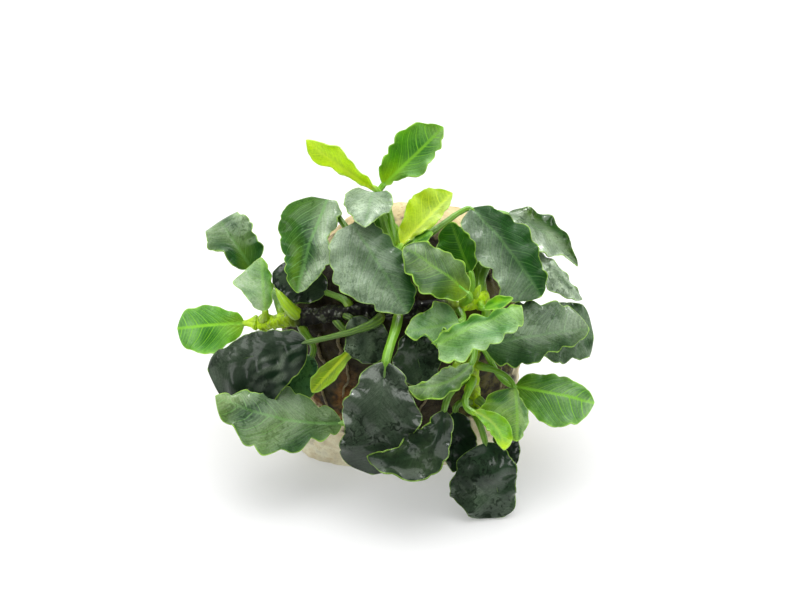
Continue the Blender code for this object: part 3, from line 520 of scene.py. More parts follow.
def blade_finish(name, tone):
    """The upper face of a blade: a skin with a soft wet shine, which is broken by matte dark
    marks where wet is high; their darkening is a painted dark reflection in the wet film.
    Attributes of its mesh: tint, its own green; bloom, how much painted sheen lies on it, a
    milky grey-green that stands for the shine of the light; vein, the number of the lateral
    vein; rib and edge, mm from the midrib and from the margin; veins, how much its veins
    show; wet, how wet it is."""
    settings = bpy.context.scene.anubias_leaves
    finish = Finish(
        name, Specular_IOR_Level=tone.sheen, Coat_Roughness=0.15, Coat_IOR=1.4,
        Subsurface_Weight=tone.glow, Subsurface_Radius=(1.0, 1.3, 0.3), Subsurface_Scale=MM)
    tint = finish.attribute("tint", "Color")
    vein, rib, edge, clear, bloom, wet = (
        finish.attribute(key) for key in ("vein", "rib", "edge", "veins", "bloom", "wet"))

    # Patterns over the skin. The streaks run along the veins, on a scale of their own.
    wander = finish.noise(6)
    speckle = finish.noise(0.8, detail=3, roughness=0.7)
    mottle = finish.noise(8, detail=3)
    grain = finish.noise(0.45)
    along_veins = finish.node("ShaderNodeCombineXYZ", sockets={0: vein * 8.0, 1: rib * 0.22})
    streak = finish.noise(1 / MM, detail=3, roughness=0.65, places=along_veins)

    # The veins and the margin.
    line = vein + (wander - 0.5) * 0.3
    inside = edge.step(0.3, 2.2)
    lateral = line.lines(0.87, 0.98) * inside
    minor = (line * 3).lines(0.62, 0.98) * inside
    midrib = rib.step(0.9, 0.2) * vein.step(9.0, 1.0).between(0.3, 1.0)
    rim = edge.step(0.46, 0.16) * wander.step(0.3, 0.62).between(0.4, 1.0)
    rim = rim * (0.2 + tone.vein_share)
    margin = edge.step(2.6, 0.4) * wander.step(0.35, 0.6).between(0.4, 1.0)

    # The colour: the skin, the painted sheen over it, a milky grey-green that stands for the shine
    # of the light, then the veins and the margin.
    painted_sheen_mask = bloom * mottle.step(0.3, 0.65).between(0.88, 1.06)
    painted_sheen_mask = painted_sheen_mask * streak.step(0.36, 0.62).between(0.74, 1.16)
    painted_sheen_mask = painted_sheen_mask * speckle.step(0.66, 0.4).between(0.8, 1.15)
    colour = finish.darken(streak.step(0.60, 0.40) * 0.28, tint, (0.55, 0.68, 0.5))
    colour = finish.darken(mottle.step(0.62, 0.3) * 0.4, colour, (0.5, 0.62, 0.45))
    colour = finish.darken(speckle.step(0.44, 0.66) * 0.4, colour, (0.45, 0.58, 0.38))
    colour = finish.mix(painted_sheen_mask, colour, settings.painted_sheen_colour)
    colour = finish.darken(grain.step(0.5, 0.72) * 0.25, colour, (0.6, 0.7, 0.55))
    for line, share in ((minor, 0.3), (lateral, 0.75), (midrib, 1), (margin, 0.35)):
        shown = line * clear * (share * tone.vein_share)
        colour = finish.mix(shown, colour, tone.vein_colour)
    colour = finish.mix(rim, colour, settings.rim_colour)

    # The matte marks that break the wet shine: rougher, without coat, and darkened, the darkening
    # being a painted dark reflection in the wet film.
    patch = finish.noise(12, detail=3, distortion=0.5)
    spot = finish.noise(2.4, distortion=1.2).step(0.55, 0.58) * patch.step(0.44, 0.56)
    dull_and_painted_dark = 1 - (1 - spot) * (1 - patch.step(0.57, 0.60) * (0.7 * wet))
    # Painted dark reflection: the marks darken the colour, painted sheen included.
    colour = finish.darken(dull_and_painted_dark * wet * 0.9, colour, (0.12, 0.18, 0.12))
    skin = tone.roughness + 0.10 * (mottle - 0.5) + 0.10 * (speckle - 0.5)
    relief = 0.3 * minor - 0.4 * lateral + 0.1 * streak + 0.6 * speckle + 0.2 * grain
    return finish.wear(
        Base_Color=colour, Normal=finish.bump(relief, 0.12, 0.8),
        Roughness=skin + dull_and_painted_dark * wet * (0.8 - skin),
        Coat_Weight=(1 - dull_and_painted_dark) * (bloom * 3 + 0.1 + wet).step(0, 1) * wet)


def underside_finish():
    """The paler, duller lower face of a blade."""
    finish = Finish("blade_under", Roughness=0.5)
    tint = finish.attribute("tint", "Color")
    inside = finish.attribute("edge").step(0.2, 2.0)
    lateral = finish.attribute("vein").lines(0.82, 1.0) * inside
    colour = finish.mix(0.45, tint, (0.13, 0.26, 0.09))
    colour = finish.mix(lateral * 0.5, colour, (0.22, 0.38, 0.12))
    colour = finish.darken(finish.noise(6).step(0.4, 0.7) * 0.3, colour, (0.6, 0.7, 0.6))
    relief = lateral + 0.3 * finish.noise(0.5)
    return finish.wear(Base_Color=colour, Normal=finish.bump(relief, 0.15, 0.8))


def stalk_finish():
    """Stalks and midribs: long pale ridges on green. The first UV axis runs round them."""
    finish = Finish(
        "stalk_skin", Coat_Roughness=0.1, Coat_IOR=1.33, Subsurface_Weight=0.15,
        Subsurface_Radius=(0.5, 0.8, 0.2), Subsurface_Scale=MM)
    tint = finish.attribute("tint", "Color")
    around = finish.axes(finish.places("UV"))[0]
    wander = finish.noise(4)
    ridge = (around * STALK_RIDGES + wander * 0.8).lines(0.3, 1.0)
    ridge = ridge * wander.step(0.35, 0.65).between(0.3, 1.0)
    shadow = (1 - ridge) * wander.step(0.45, 0.65) * 0.35
    speck = finish.noise(0.9).step(0.5, 0.75)
    colour = finish.mix(ridge * 0.38, tint, (0.30, 0.55, 0.05))
    colour = finish.darken(shadow, colour, (0.4, 0.55, 0.3))
    colour = finish.darken(speck * 0.3, colour, (0.55, 0.62, 0.4))
    relief = ridge + 0.4 * finish.noise(0.6)
    return finish.wear(
        Base_Color=colour, Normal=finish.bump(relief, 0.2, 0.8),
        Roughness=wander.between(0.3, 0.5), Coat_Weight=wander.step(0.5, 0.7) * 0.3)


def stone_finish():
    """Pale dry stone with warm bands and painted shade on its top and back, dark and wet where
    the plant covers it, its near black there partly painted shade under the plant.
    """
    settings = bpy.context.scene.anubias_stone
    finish = Finish("stone_worn", Specular_IOR_Level=0.25, Coat_Roughness=0.12, Coat_IOR=1.33)
    across, back, height = finish.axes(finish.places())

    # Places on the leaning front, in metres.
    lean, middle = FRONT_LEAN, FRONT_MIDDLE_HEIGHT * MM
    up = back * math.sin(lean) + (height - middle) * math.cos(lean)
    out = (height - middle) * math.sin(lean) - back * math.cos(lean)

    # Patterns over the skin.
    broad = finish.noise(16, detail=4, roughness=0.6)
    medium = finish.noise(4, detail=4, roughness=0.65)
    fine = finish.noise(0.9, detail=3, roughness=0.6)
    stretched = finish.node("ShaderNodeMapping", sockets={
        "Vector": finish.places(), "Scale": (1, 1, 1.8)})
    band = finish.noise(11, detail=4, places=stretched, distortion=0.4).step(0.45, 0.66)
    pits = finish.noise(1.7, detail=3, roughness=0.6).step(0.42, 0.33)

    # Where it is wet, where its pits are worn smooth, and where it is the top or the back, which
    # get painted shade so that the foot stays lighter, as if lit from below.
    reach = ((across / WET_HALF_WIDTH) ** 2 + ((up + MM) / WET_HALF_HEIGHT) ** 2) ** 0.5
    covered = reach + (broad - 0.5) * 0.5 + (medium - 0.5) * 0.25
    wet = covered.step(1.04, 0.90) * out.step(0.004, 0.014)
    smooth = height.step(0.030, 0.050).between(0.25, 1.0)
    far = 1 - (1 - height.step(0.035, 0.075)) * (1 - back.step(-0.005, 0.015))

    # Its colours, dry and wet; the wet colour is the stone's own dark brown, made near black as
    # painted shade under the plant.
    dry = finish.mix(band * 0.55, settings.dry_colour, settings.warm_colour)
    dry = finish.mix(broad.step(0.5, 0.36) * 0.4, dry, settings.grey_colour)
    dry = finish.darken(medium.step(0.52, 0.66) * 0.36, dry, (0.70, 0.60, 0.44))
    dry = finish.darken(fine.step(0.5, 0.8) * 0.3, dry, (0.62, 0.55, 0.46))
    dry = finish.darken(pits * 0.5 * smooth, dry, (0.48, 0.38, 0.26))
    dry = finish.darken(covered.step(1.2, 1.0) * 0.4, dry, (0.55, 0.46, 0.30))
    # Painted shade: the top and the back darker than the foot.
    dry = finish.darken(far, dry, (0.72, 0.64, 0.48))
    rust = broad.step(0.46, 0.60) * (up.step(-0.010, -0.022) * across.step(0.004, -0.008))
    moss = medium.step(0.38, 0.56) * across.step(0.012, 0.024).between(0.2, 1.0)
    dark = finish.mix(rust, settings.wet_and_painted_shade_colour, settings.rust_colour)
    dark = finish.darken(fine.step(0.42, 0.7) * 0.7, dark, (0.25, 0.22, 0.16))
    dark = finish.mix(moss, dark, settings.moss_colour)
    relief = 0.6 * medium + 0.35 * fine + 0.12 * finish.noise(0.3) - 0.3 * pits
    return finish.wear(
        Base_Color=finish.mix(wet, dry, dark), Normal=finish.bump(relief, 0.7, 0.9),
        Roughness=0.85 - 0.2 * wet, Coat_Weight=wet * medium.step(0.45, 0.6) * 0.25)


def rhizome_finish():
    """Creeping stems: almost black, partly as painted shade among the leaves, with paler ring
    scars, damp patches and green ends.
    """
    settings = bpy.context.scene.anubias_stems
    finish = Finish("rhizome_bark", Specular_IOR_Level=0.15, Coat_Roughness=0.2)
    mottle = finish.noise(3, detail=4, roughness=0.65)
    damp = finish.noise(2.2, detail=3, distortion=1.0).step(0.52, 0.60)
    scar = finish.attribute("scar") * 0.8
    colour = finish.mix(scar, settings.rhizome_and_painted_shade_colour, settings.scar_colour)
    colour = finish.mix(finish.attribute("tip"), colour, settings.tip_colour)
    colour = finish.darken(mottle.step(0.45, 0.65) * 0.7, colour, (0.3, 0.3, 0.25))
    colour = finish.mix(damp * 0.35, colour, (0.060, 0.085, 0.020))
    return finish.wear(
        Base_Color=colour, Roughness=mottle.between(0.45, 0.7), Coat_Weight=damp * 0.8,
        Normal=finish.bump(mottle + 0.3 * finish.noise(0.6), 0.6, 0.8))


def root_finish():
    """Roots: straw-coloured, with dark olive patches."""
    finish = Finish("root_skin", Roughness=0.55)
    mottle = finish.noise(2, detail=3)
    root_colour = bpy.context.scene.anubias_stems.root_colour
    colour = finish.mix(mottle.step(0.4, 0.65), root_colour, (0.07, 0.06, 0.02))
    return finish.wear(Base_Color=colour, Normal=finish.bump(mottle, 0.3, 0.8))


def shoot_finish():
    """Rolled new leaves: yellow-green, with long fine darker veins."""
    finish = Finish(
        "shoot_skin", Roughness=0.32, Subsurface_Weight=0.2,
        Subsurface_Radius=(0.5, 0.8, 0.2), Subsurface_Scale=MM)
    vein = (finish.axes(finish.places("UV"))[0] * 11).lines(0.5, 1.0)
    shoot_colour = bpy.context.scene.anubias_stems.shoot_colour
    colour = finish.mix(vein * 0.5, shoot_colour, (0.16, 0.34, 0.03))
    return finish.wear(Base_Color=colour, Normal=finish.bump(vein, 0.1, 0.7))


# ---------------------------------------------------------------- the planted front

def place(places):
    """Rows of points in metres for rows of places on the leaning front in millimetres."""
    across, up, out = np.asarray(places, float).T
    lean, height = FRONT_LEAN, FRONT_MIDDLE_HEIGHT
    return MM * np.column_stack((
        across,
        up * math.sin(lean) - out * math.cos(lean),
        height + up * math.cos(lean) + out * math.sin(lean),
    ))


def place_back(points):
    """Rows of places on the leaning front in millimetres for rows of points in metres."""
    across, y, z = np.array(points).T / MM
    z = z - FRONT_MIDDLE_HEIGHT
    lean = FRONT_LEAN
    return np.column_stack((
        across,
        y * math.sin(lean) + z * math.cos(lean),
        z * math.sin(lean) - y * math.cos(lean),
    ))


def unit(vectors):
    vectors = np.asarray(vectors, float)
    return vectors / np.linalg.norm(vectors, axis=-1, keepdims=True)


def smooth_step(values, low, high):
    share = np.clip((values - low) / (high - low), 0, 1)
    return share * share * (3 - 2 * share)


def smooth_route(points, shares):
    """Rows of places along a smooth curve through the points, at shares of its length."""
    points = np.array(points, float)
    ends = 2 * points[0] - points[1], 2 * points[-1] - points[-2]
    padded = np.vstack((ends[0], points, ends[1]))
    at = np.clip(shares, 0, 1) * (len(points) - 1)
    span = np.minimum(at.astype(int), len(points) - 2)
    t = (at - span)[:, None]
    before, start, end, after = (padded[span + i] for i in range(4))
    return 0.5 * (
        2 * start
        + (end - before) * t
        + (2 * before - 5 * start + 4 * end - after) * t ** 2
        + (3 * start - before - 3 * end + after) * t ** 3
    )


def bezier(bends, t):
    a, b, c, d = bends
    t = np.asarray(t)[:, None]
    return (1 - t) ** 3 * a + 3 * (1 - t) ** 2 * t * b + 3 * (1 - t) * t ** 2 * c + t ** 3 * d


def ripples(places, size, seed):
    """Seeded soft waves, about -1 to 1, at rows of places in mm: size is their length."""
    chance = np.random.default_rng(seed)
    places = np.asarray(places, float)
    total = np.zeros(len(places))
    for _ in range(RIPPLE_WAVES):
        way = unit(chance.normal(size=places.shape[1]))
        length = size * chance.uniform(0.7, 1.5)
        total += np.sin(2 * math.pi * (places @ way / length + chance.random()))
    return total / math.sqrt(RIPPLE_WAVES)


# ---------------------------------------------------------------- meshes

def choose(active, *others):
    """Selects these objects and no other."""
    bpy.ops.object.select_all(action="DESELECT")
    for made in (active, *others):
        made.select_set(True)
    bpy.context.view_layer.objects.active = active


def points_of(made):
    points = np.empty(len(made.data.vertices) * 3)
    made.data.vertices.foreach_get("co", points)
    return points.reshape(-1, 3)


def move_points(made, points):
    made.data.vertices.foreach_set("co", np.asarray(points, float).ravel())
    made.data.update()


def add_grid(name, columns, rows):
    """A square sheet of cells, and each of its points' two shares, 0 to 1, along its sides."""
    bpy.ops.object.select_all(action="DESELECT")
    bpy.ops.mesh.primitive_grid_add(x_subdivisions=columns, y_subdivisions=rows, size=1)
    made = bpy.context.object
    made.name = made.data.name = name
    return made, (points_of(made)[:, :2] + 0.5).T


def set_values(made, **layers):
    """Gives each point of the mesh a number, or a colour, under each name."""
    for name, values in layers.items():
        values = np.asarray(values, float)
        if values.ndim == 2:
            layer = made.data.color_attributes.new(name=name, type="FLOAT_COLOR", domain="POINT")
            rows = np.column_stack((values, np.ones(len(values))))
            layer.data.foreach_set("color", rows.ravel())
        else:
            layer = made.data.attributes.new(name=name, type="FLOAT", domain="POINT")
            layer.data.foreach_set("value", values)


def close_skin():
    """Merges the points of the active mesh that meet, faces it outward and ends the edit."""
    bpy.ops.object.mode_set(mode="EDIT")
    bpy.ops.mesh.select_all(action="SELECT")
    bpy.ops.mesh.remove_doubles(threshold=MERGE)
    bpy.ops.mesh.normals_make_consistent(inside=False)
    bpy.ops.object.mode_set(mode="OBJECT")


def add_tube(name, route, radius, length, sides, step, first_way=OUTWARD, bend=0, **values):
    """A closed tube, rolled from a sheet. route gives rows of places in mm at shares along
    it, and radius the skin's distance at rows of shares along it and turns round it. step is
    the length of its cells, and bend how far, in mm, its corners are eased. Each of values
    gives its points' numbers or colours at shares along it."""
    made, (round_it, shares) = add_grid(name, sides, max(4, round(length / step)))
    turns = round_it * 2 * math.pi
    along, rows = np.unique(shares.round(5), return_inverse=True)
    middles = route(along)
    for _ in range(round((bend / length * len(middles)) ** 2)):
        middles[1:-1] = (middles[:-2] + 2 * middles[1:-1] + middles[2:]) / 4
    directions = unit(np.gradient(middles, axis=0))
    firsts = []
    for direction in directions:
        first_way = unit(first_way - np.dot(first_way, direction) * direction)
        firsts.append(first_way)
    firsts = np.array(firsts)
    seconds = np.cross(directions, firsts)
    cosines, sines = np.cos(turns)[:, None], np.sin(turns)[:, None]
    ring = radius(shares, turns)[:, None] * (cosines * firsts[rows] + sines * seconds[rows])
    move_points(made, place(middles[rows] + ring))
    set_values(made, **{key: value_at(shares) for key, value_at in values.items()})
    close_skin()
    return made


def finish_piece(made, node, slot_name, *finishes, angle=60):
    """Smooth shading and finishes for the piece, which is hung on the root body; hides the CAD
    node that it stands for.
    """
    choose(made)
    bpy.ops.object.shade_smooth_by_angle(angle=math.radians(angle), keep_sharp_edges=False)
    for finish in finishes:
        made.data.materials.append(finish)
    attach(made, "root")
    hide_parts(node)


# ---------------------------------------------------------------- the stone

def build_stone(settings):
    """A ball of fine triangles pushed out to the worn stone, and cut flat below."""
    bpy.ops.object.select_all(action="DESELECT")
    bpy.ops.mesh.primitive_ico_sphere_add(subdivisions=STONE_SUBDIVISIONS, radius=1)
    made = bpy.context.object
    made.name = made.data.name = "stone_body"
    ways = unit(points_of(made))
    heights = np.where(ways[:, 2] > 0, settings.top, settings.foot) / MM
    power = STONE_BLOCKINESS
    closeness = (
        abs(ways[:, 0] * MM / settings.half_width) ** power
        + abs(ways[:, 1] * MM / settings.half_depth) ** power
        + abs(ways[:, 2] / heights) ** power
    ) ** (STONE_EDGE / power)
    for outward, distance in STONE_FLATS:
        closeness += (np.maximum(ways @ unit(outward), 0) / distance) ** STONE_EDGE
    spots = ways * (closeness ** (-1 / STONE_EDGE))[:, None]
    reach = np.linalg.norm(spots, axis=1)
    grain = settings.grain / MM
    for i, spot in enumerate(spots):
        spot = Vector(spot)
        reach[i] += STONE_LUMP * noise.noise(spot / STONE_LUMP_SIZE + STONE_LUMP_AT)
        reach[i] += STONE_PIT * noise.noise(spot / STONE_PIT_SIZE)
        reach[i] += grain * (noise.turbulence(spot / STONE_GRAIN_SIZE, 4, False) - 0.6)
        reach[i] -= 0.6 * grain * max(0, noise.noise(spot / STONE_POCK_SIZE) - 0.25)
    move_points(made, MM * ways * reach[:, None] + np.array((0, 0, settings.waist)))
    bpy.ops.object.mode_set(mode="EDIT")
    bpy.ops.mesh.select_all(action="SELECT")
    bpy.ops.mesh.bisect(
        plane_co=(0, 0, 0), plane_no=(0, 0, -1), use_fill=True, clear_outer=True)
    close_skin()
    finish_piece(made, "stone", "stone", stone_finish(), angle=50)


# ---------------------------------------------------------------- stems, shoots and roots

def route_length(route):
    stops = route(np.linspace(0, 1, 41))
    return np.linalg.norm(np.diff(stops, axis=0), axis=1).sum()


def build_rhizome(name, finish, seed):
    """A creeping stem with a ring scar where each old leaf stood."""
    girth, points = RHIZOMES[name]
    node = "rhizome_" + name
    route = partial(smooth_route, points)
    length = route_length(route)
    most_scars = 60
    scars = np.random.default_rng(seed).uniform(-SCAR_WANDER, SCAR_WANDER, most_scars)

    def scar_at(shares):
        ring = shares * length / SCAR_SPACING
        nearest = np.rint(ring).astype(int)
        return np.exp(-((ring - nearest - scars[nearest]) / SCAR_WIDTH) ** 2)

    def from_end(shares):
        return np.minimum(shares, 1 - shares) * length

    def radius(shares, turns):
        spots = np.column_stack((shares * length, girth * np.cos(turns), girth * np.sin(turns)))
        lumps = 0.15 * ripples(spots, 8, seed) + 0.05 * ripples(spots, 2.4, seed + 1)
        closing = 1 - np.clip(from_end(shares) / (0.8 * girth), 0, 1)
        ends = np.sqrt(np.clip(1 - closing ** 2, 0, 1))
        return girth * ends * (0.86 + lumps + 0.09 * scar_at(shares))

    def tip_at(shares):
        return smooth_step(from_end(shares), TIP_LENGTH, TIP_LENGTH / 2)

    made = add_tube(
        node + "_stem", route, radius, length, sides=40, step=0.35, scar=scar_at, tip=tip_at)
    finish_piece(made, node, "rhizome", finish)


def build_shoot(name, finish):
    """A new leaf, still rolled: its free margin runs down it as a step."""
    girth, points = SHOOTS[name]
    route = partial(smooth_route, points)

    def radius(shares, turns):
        wrap = (turns / (2 * math.pi) + 0.35 * shares) % 1
        step = SHOOT_STEP * wrap * smooth_step(wrap, 1.0, 0.93)
        return girth * np.interp(shares, SHOOT_PLACES, SHOOT_SIZES) * (0.94 + step)

    made = add_tube(
        name + "_roll", route, radius, route_length(route), sides=48, step=0.18,
        first_way=np.array((1.0, 0, 0)))
    finish_piece(made, name, "young", finish)


def build_root(name, finish, stone, seed):
    """A root that wanders over the stone's skin, slimmer towards its end."""
    flat = [(across, up, 0) for across, up in ROOTS[name]]
    inward = Vector(place([-OUTWARD])[0] - place([(0, 0, 0)])[0]).normalized()

    def route(shares):
        spots = []
        for spot in place(smooth_route(flat, shares) + ROOT_SEEN_FROM * OUTWARD):
            hit, at, normal, _ = stone.ray_cast(Vector(spot), inward)
            if not hit:
                raise RuntimeError(name + " runs off the stone")
            spots.append(at + ROOT_RISE * MM * normal)
        wander = ripples(shares[:, None] * 20, 5, seed)
        return place_back(spots) + np.outer(wander, ROOT_WANDER)

    def radius(shares, turns):
        thick = ROOT_RADIUS * (1 - 0.5 * shares) * (1 + 0.08 * np.sin(shares * 90 + seed))
        return thick * np.sqrt(np.clip(np.minimum(shares, 1 - shares) * 25, 0, 1))

    made = add_tube(name + "_strand", route, radius, route_length(route), sides=14, step=0.5)
    finish_piece(made, name, "root", finish)


# ---------------------------------------------------------------- leaves
# t is a share of the blade's length, and s runs from -1 at its left margin to 1 at its right.

def blade_length(leaf):
    return np.linalg.norm(np.array(leaf.tip) - leaf.base)


def half_widths(leaf, t, s):
    """Distances from the midrib to the margin on the side of s: a smooth curve through the
    leaf's four, rounded off to 0 at both ends of the blade."""
    widths = np.zeros(len(t))
    for stops, chosen in ((leaf.right, s > 0), (leaf.left, s <= 0)):
        stop = np.array((0, *stops, 0), float)
        slope = np.gradient(stop)
        slope[1] = MARGIN_SLACK * (stop[2] - stop[1])
        slope[4] = MARGIN_SLACK * (stop[4] - stop[3])
        at = np.clip((t * 5).astype(int), 0, 4)
        share = np.clip(t * 5 - at, 0, 1)
        start, end = stop[at], stop[at + 1]
        rise = slope[at] * share * (1 - share) ** 2
        fall = -slope[at + 1] * share ** 2 * (1 - share)
        middle = start + (end - start) * smooth_step(share, 0, 1) + rise + fall
        first = end * (1 - (1 - share) ** 2) ** leaf.shoulder + fall
        last = start * (1 - share ** (0.8 + leaf.blunt)) ** 0.8 + rise
        width = np.where(at == 0, first, np.where(at == 4, last, middle))
        widths = np.where(chosen, width, widths)
    return np.maximum(widths, np.where(t < 0.5, leaf.stalk * 0.8, LEAST_WIDTH))


def blade_frames(leaf, t):
    """Middles, forward, side and face directions of the blade."""
    base, tip = np.array(leaf.base, float), np.array(leaf.tip, float)
    chord = tip - base
    length = np.linalg.norm(chord)
    forward = chord / length
    facing = np.array(leaf.facing, float)
    face = unit(facing - facing.dot(forward) * forward)
    side = np.cross(forward, face)
    half = math.radians(leaf.arch) / 2
    radius = length / 2 / math.sin(half)
    t = np.asarray(t, float)[:, None]
    angle = (2 * t - 1) * half
    middle = (
        base + chord / 2 + radius * np.sin(angle) * forward
        + radius * (np.cos(angle) - math.cos(half)) * face
        + leaf.sweep * 4 * t * (1 - t) * side
    )
    turned_forward = np.cos(angle) * forward - np.sin(angle) * face
    turned_face = np.cos(angle) * face + np.sin(angle) * forward
    veer = np.arctan(leaf.sweep * 4 * (1 - 2 * t) / length)
    veered_forward = np.cos(veer) * turned_forward + np.sin(veer) * side
    veered_side = np.cos(veer) * side - np.sin(veer) * turned_forward
    return middle, veered_forward, veered_side, turned_face


def midrib_radius(leaf, t):
    return np.maximum(0.6 * leaf.stalk * (1 - t) ** 1.6, 0.15)


def crumples(leaf, t, s, seed):
    """The slanting crumples of a blade, and how strong they are."""
    most, middle_s, middle_t = leaf.crumple
    off_s, off_t = (s - middle_s) / CRUMPLE_SPREAD[0], (t - middle_t) / CRUMPLE_SPREAD[1]
    strength = most * np.exp(-off_s ** 2 - off_t ** 2)
    along, across = t * blade_length(leaf), s * half_widths(leaf, t, s)
    # Turned by 30 degrees, so that they slant, and drawn out to about three times as long.
    turned = np.column_stack((0.15 * across - 0.26 * along, 0.5 * along + 0.87 * across))
    return ripples(turned, CRUMPLE_LENGTH, seed + 7), strength


def within_ends(t, pace):
    """1 along a blade, and down to 0 at its two ends: the higher the pace, the nearer."""
    return np.minimum(np.minimum(1, pace * t), pace * (1 - t))


def blade_places(leaf, t, s, seed):
    """Places of the blade's sheet in mm, and the distances that its finish needs: the number
    of the lateral vein, and mm from the midrib and from the margin."""
    middle, forward, side, face = blade_frames(leaf, t)
    width, length = half_widths(leaf, t, s), blade_length(leaf)
    reach = abs(s)
    rib = reach * width
    within = within_ends(t, 8)

    # The margin: its lobes, its waves and its fine frill.
    along = np.column_stack((t * length, np.where(s < 0, MARGINS_APART, 0)))
    drift = t * length / leaf.lobe_length + 0.35 * ripples(along, 17, seed)
    beat = np.abs(np.sin(math.pi * (drift + np.where(s < 0, LOBE_SHIFT, 0))))
    scallop = leaf.lobes * (beat - 0.65) + 0.12 * ripples(along, 3.1, seed + 3)
    scallop *= reach ** 3 * within
    turn = 2 * math.pi * (leaf.waves * t + leaf.phase + np.where(s < 0, MARGIN_SHIFT, 0))
    swing = 0.85 * leaf.ruffle * np.sin(turn) * reach ** 3 * within_ends(t, 6)
    frill = 0.5 * ripples(along, 5.0, seed + 1) + 0.35 * leaf.lobes * (0.6 - beat)
    crinkle = leaf.ruffle * frill * reach ** 5 * within
    ear = leaf.ears * reach ** 1.5 * (1 - t) ** 6 * np.minimum(1, 40 * t)

    # The face: pillows between the veins, the groove over the midrib, swells and crumples.
    # The lateral vein from the midrib's foot is at t = run when it is this far out.
    run = 0.42 * reach + 0.16 * reach ** 2
    count = max(6, round(length / (bpy.context.scene.anubias_leaves.vein_spacing / MM)))
    vein = count * (t - run) / (1 - run) + np.where(s < 0, 0.5, 0)
    pillow = 0.5 - 0.5 * np.cos(2 * math.pi * vein)
    depth = np.clip(rib / 2.5, 0, 1) * np.clip((1 - reach) * width / 2, 0, 1)
    quilt = leaf.quilt * pillow * depth
    groove = -GROOVE_DEPTH * np.exp(-(rib / GROOVE_WIDTH) ** 2) * (1 - t) ** 0.5
    flat = np.column_stack((t * length, s * width))
    warp = 0.5 * leaf.warp * ripples(flat, WARP_LENGTH, seed + 2) * within
    lift = leaf.cup * width * s * s + swing + crinkle + quilt + groove + warp
    lift -= leaf.droop * np.maximum(t - 0.7, 0) ** 2 / 0.09
    folds, strength = crumples(leaf, t, s, seed)
    lift += CRUMPLE_HEIGHT * strength * folds
    places = (
        middle + (s * width + np.sign(s) * scallop)[:, None] * side + lift[:, None] * face
        - ear[:, None] * forward
    )
    return places, vein, rib, np.minimum((1 - reach) * width, (1 - t) * length)


def leaf_green(leaf):
    return np.array(getattr(bpy.context.scene.anubias_leaves, leaf.tone + "_colour"))


def leaf_tints(leaf, t, s, seed):
    """The blade's own green, lighter and yellower where it is new, and how much painted sheen,
    a milky grey-green that stands for the shine of the light, lies on it.
    """
    settings = bpy.context.scene.anubias_leaves
    soft = ripples(np.column_stack((t * 30, s * 15)), 14, seed + 5)
    golden = leaf.gold * (1.25 - 0.5 * abs(s) + soft) + leaf.gold_tip * smooth_step(t, 0.72, 1.0)
    golden += leaf.gold_foot * smooth_step(t + 0.2 * abs(s), 0.5, 0.0)
    golden = np.clip(golden, 0, 1)[:, None]
    # Painted sheen: more of it towards one margin and one end, where the shine falls on the leaf.
    across, along = leaf.bloom_at
    painted_sheen_share = leaf.bloom * (0.8 + 0.3 * soft) * np.clip(1 + across * s + along * (2 * t - 1), 0, 5)
    # Painted highlight on the crests of the crumples, added to the painted sheen.
    folds, strength = crumples(leaf, t, s, seed)
    painted_sheen_share = np.clip(painted_sheen_share + 0.2 * strength * smooth_step(folds, -0.5, 0.7), 0, 0.9)
    tone = leaf_green(leaf)
    tone = tone + leaf.leafy * (np.array(settings.fresh_colour) - tone)
    tint = (tone * leaf.shade) * (1 + 0.12 * soft)[:, None]
    return tint + golden * (np.array(settings.young_colour) - tint), painted_sheen_share


def build_blade(leaf, finishes, seed):
    """The blade: a sheet of cells, finer towards both ends, with its own thickness."""
    settings = bpy.context.scene.anubias_leaves
    sizes = blade_length(leaf), max(leaf.right) + max(leaf.left)
    columns, rows = (
        max(fewest, round(size / (settings.cell / MM)))
        for fewest, size in zip(FEWEST_CELLS, sizes))
    made, (along, across) = add_grid(f"leaf_{leaf.name}_blade", columns, rows + rows % 2)
    t = 0.65 * along + 0.35 * (0.5 - 0.5 * np.cos(math.pi * along))
    s = 1 - 2 * across
    places, vein, rib, edge = blade_places(leaf, t, s, seed)
    move_points(made, place(places))
    tint, bloom = leaf_tints(leaf, t, s, seed)
    wet = TONES[leaf.tone].wet if leaf.wet is None else leaf.wet
    set_values(
        made, vein=vein, rib=rib, edge=edge, veins=np.full(len(t), leaf.veins),
        wet=np.full(len(t), wet), tint=tint, bloom=bloom)
    made.data.materials.append(finishes[leaf.tone])
    made.data.materials.append(finishes["under"])
    sheet = made.modifiers.new("sheet", "SOLIDIFY")
    sheet.thickness = settings.thickness
    sheet.offset = 0
    sheet.material_offset = 1
    bpy.ops.object.modifier_apply(modifier=sheet.name)
    return made


def stalk_bends(leaf):
    """The four corners of the stalk's curve, and how far it ends below the blade: most
    where the blade turns back over it."""
    name, share, angle = leaf.root
    girth, points = RHIZOMES[name]
    stops = smooth_route(points, np.array((share - 0.01, share, share + 0.01)))
    along = unit(stops[2] - stops[0])
    first = unit(OUTWARD - OUTWARD.dot(along) * along)
    turn = math.radians(angle)
    away = math.cos(turn) * first + math.sin(turn) * np.cross(along, first)
    if share in (0, 1):
        away = unit(away + (2 * share - 1) * STEM_END_PULL * along)
    middle, forward, _, face = blade_frames(leaf, [0])
    base = middle[0]
    toward = base - stops[1]
    away = unit(away + BLADE_PULL * unit(toward - toward.dot(along) * along))
    start = stops[1] + STALK_START * girth * away
    span = np.linalg.norm(base - start)
    rise, reach = (
        STRAIGHT_SHARE * span if run is None else run for run in (leaf.rise, leaf.reach))
    turned_back = max(0, -unit(base - start).dot(forward[0]))
    drop = min(1, 0.45 + 2 * turned_back) * (midrib_radius(leaf, 0) + MIDRIB_GAP)
    end = base - drop * face[0]
    before = end - reach * forward[0] - 4 * turned_back * face[0]
    return (start, start + rise * away, before, end), drop


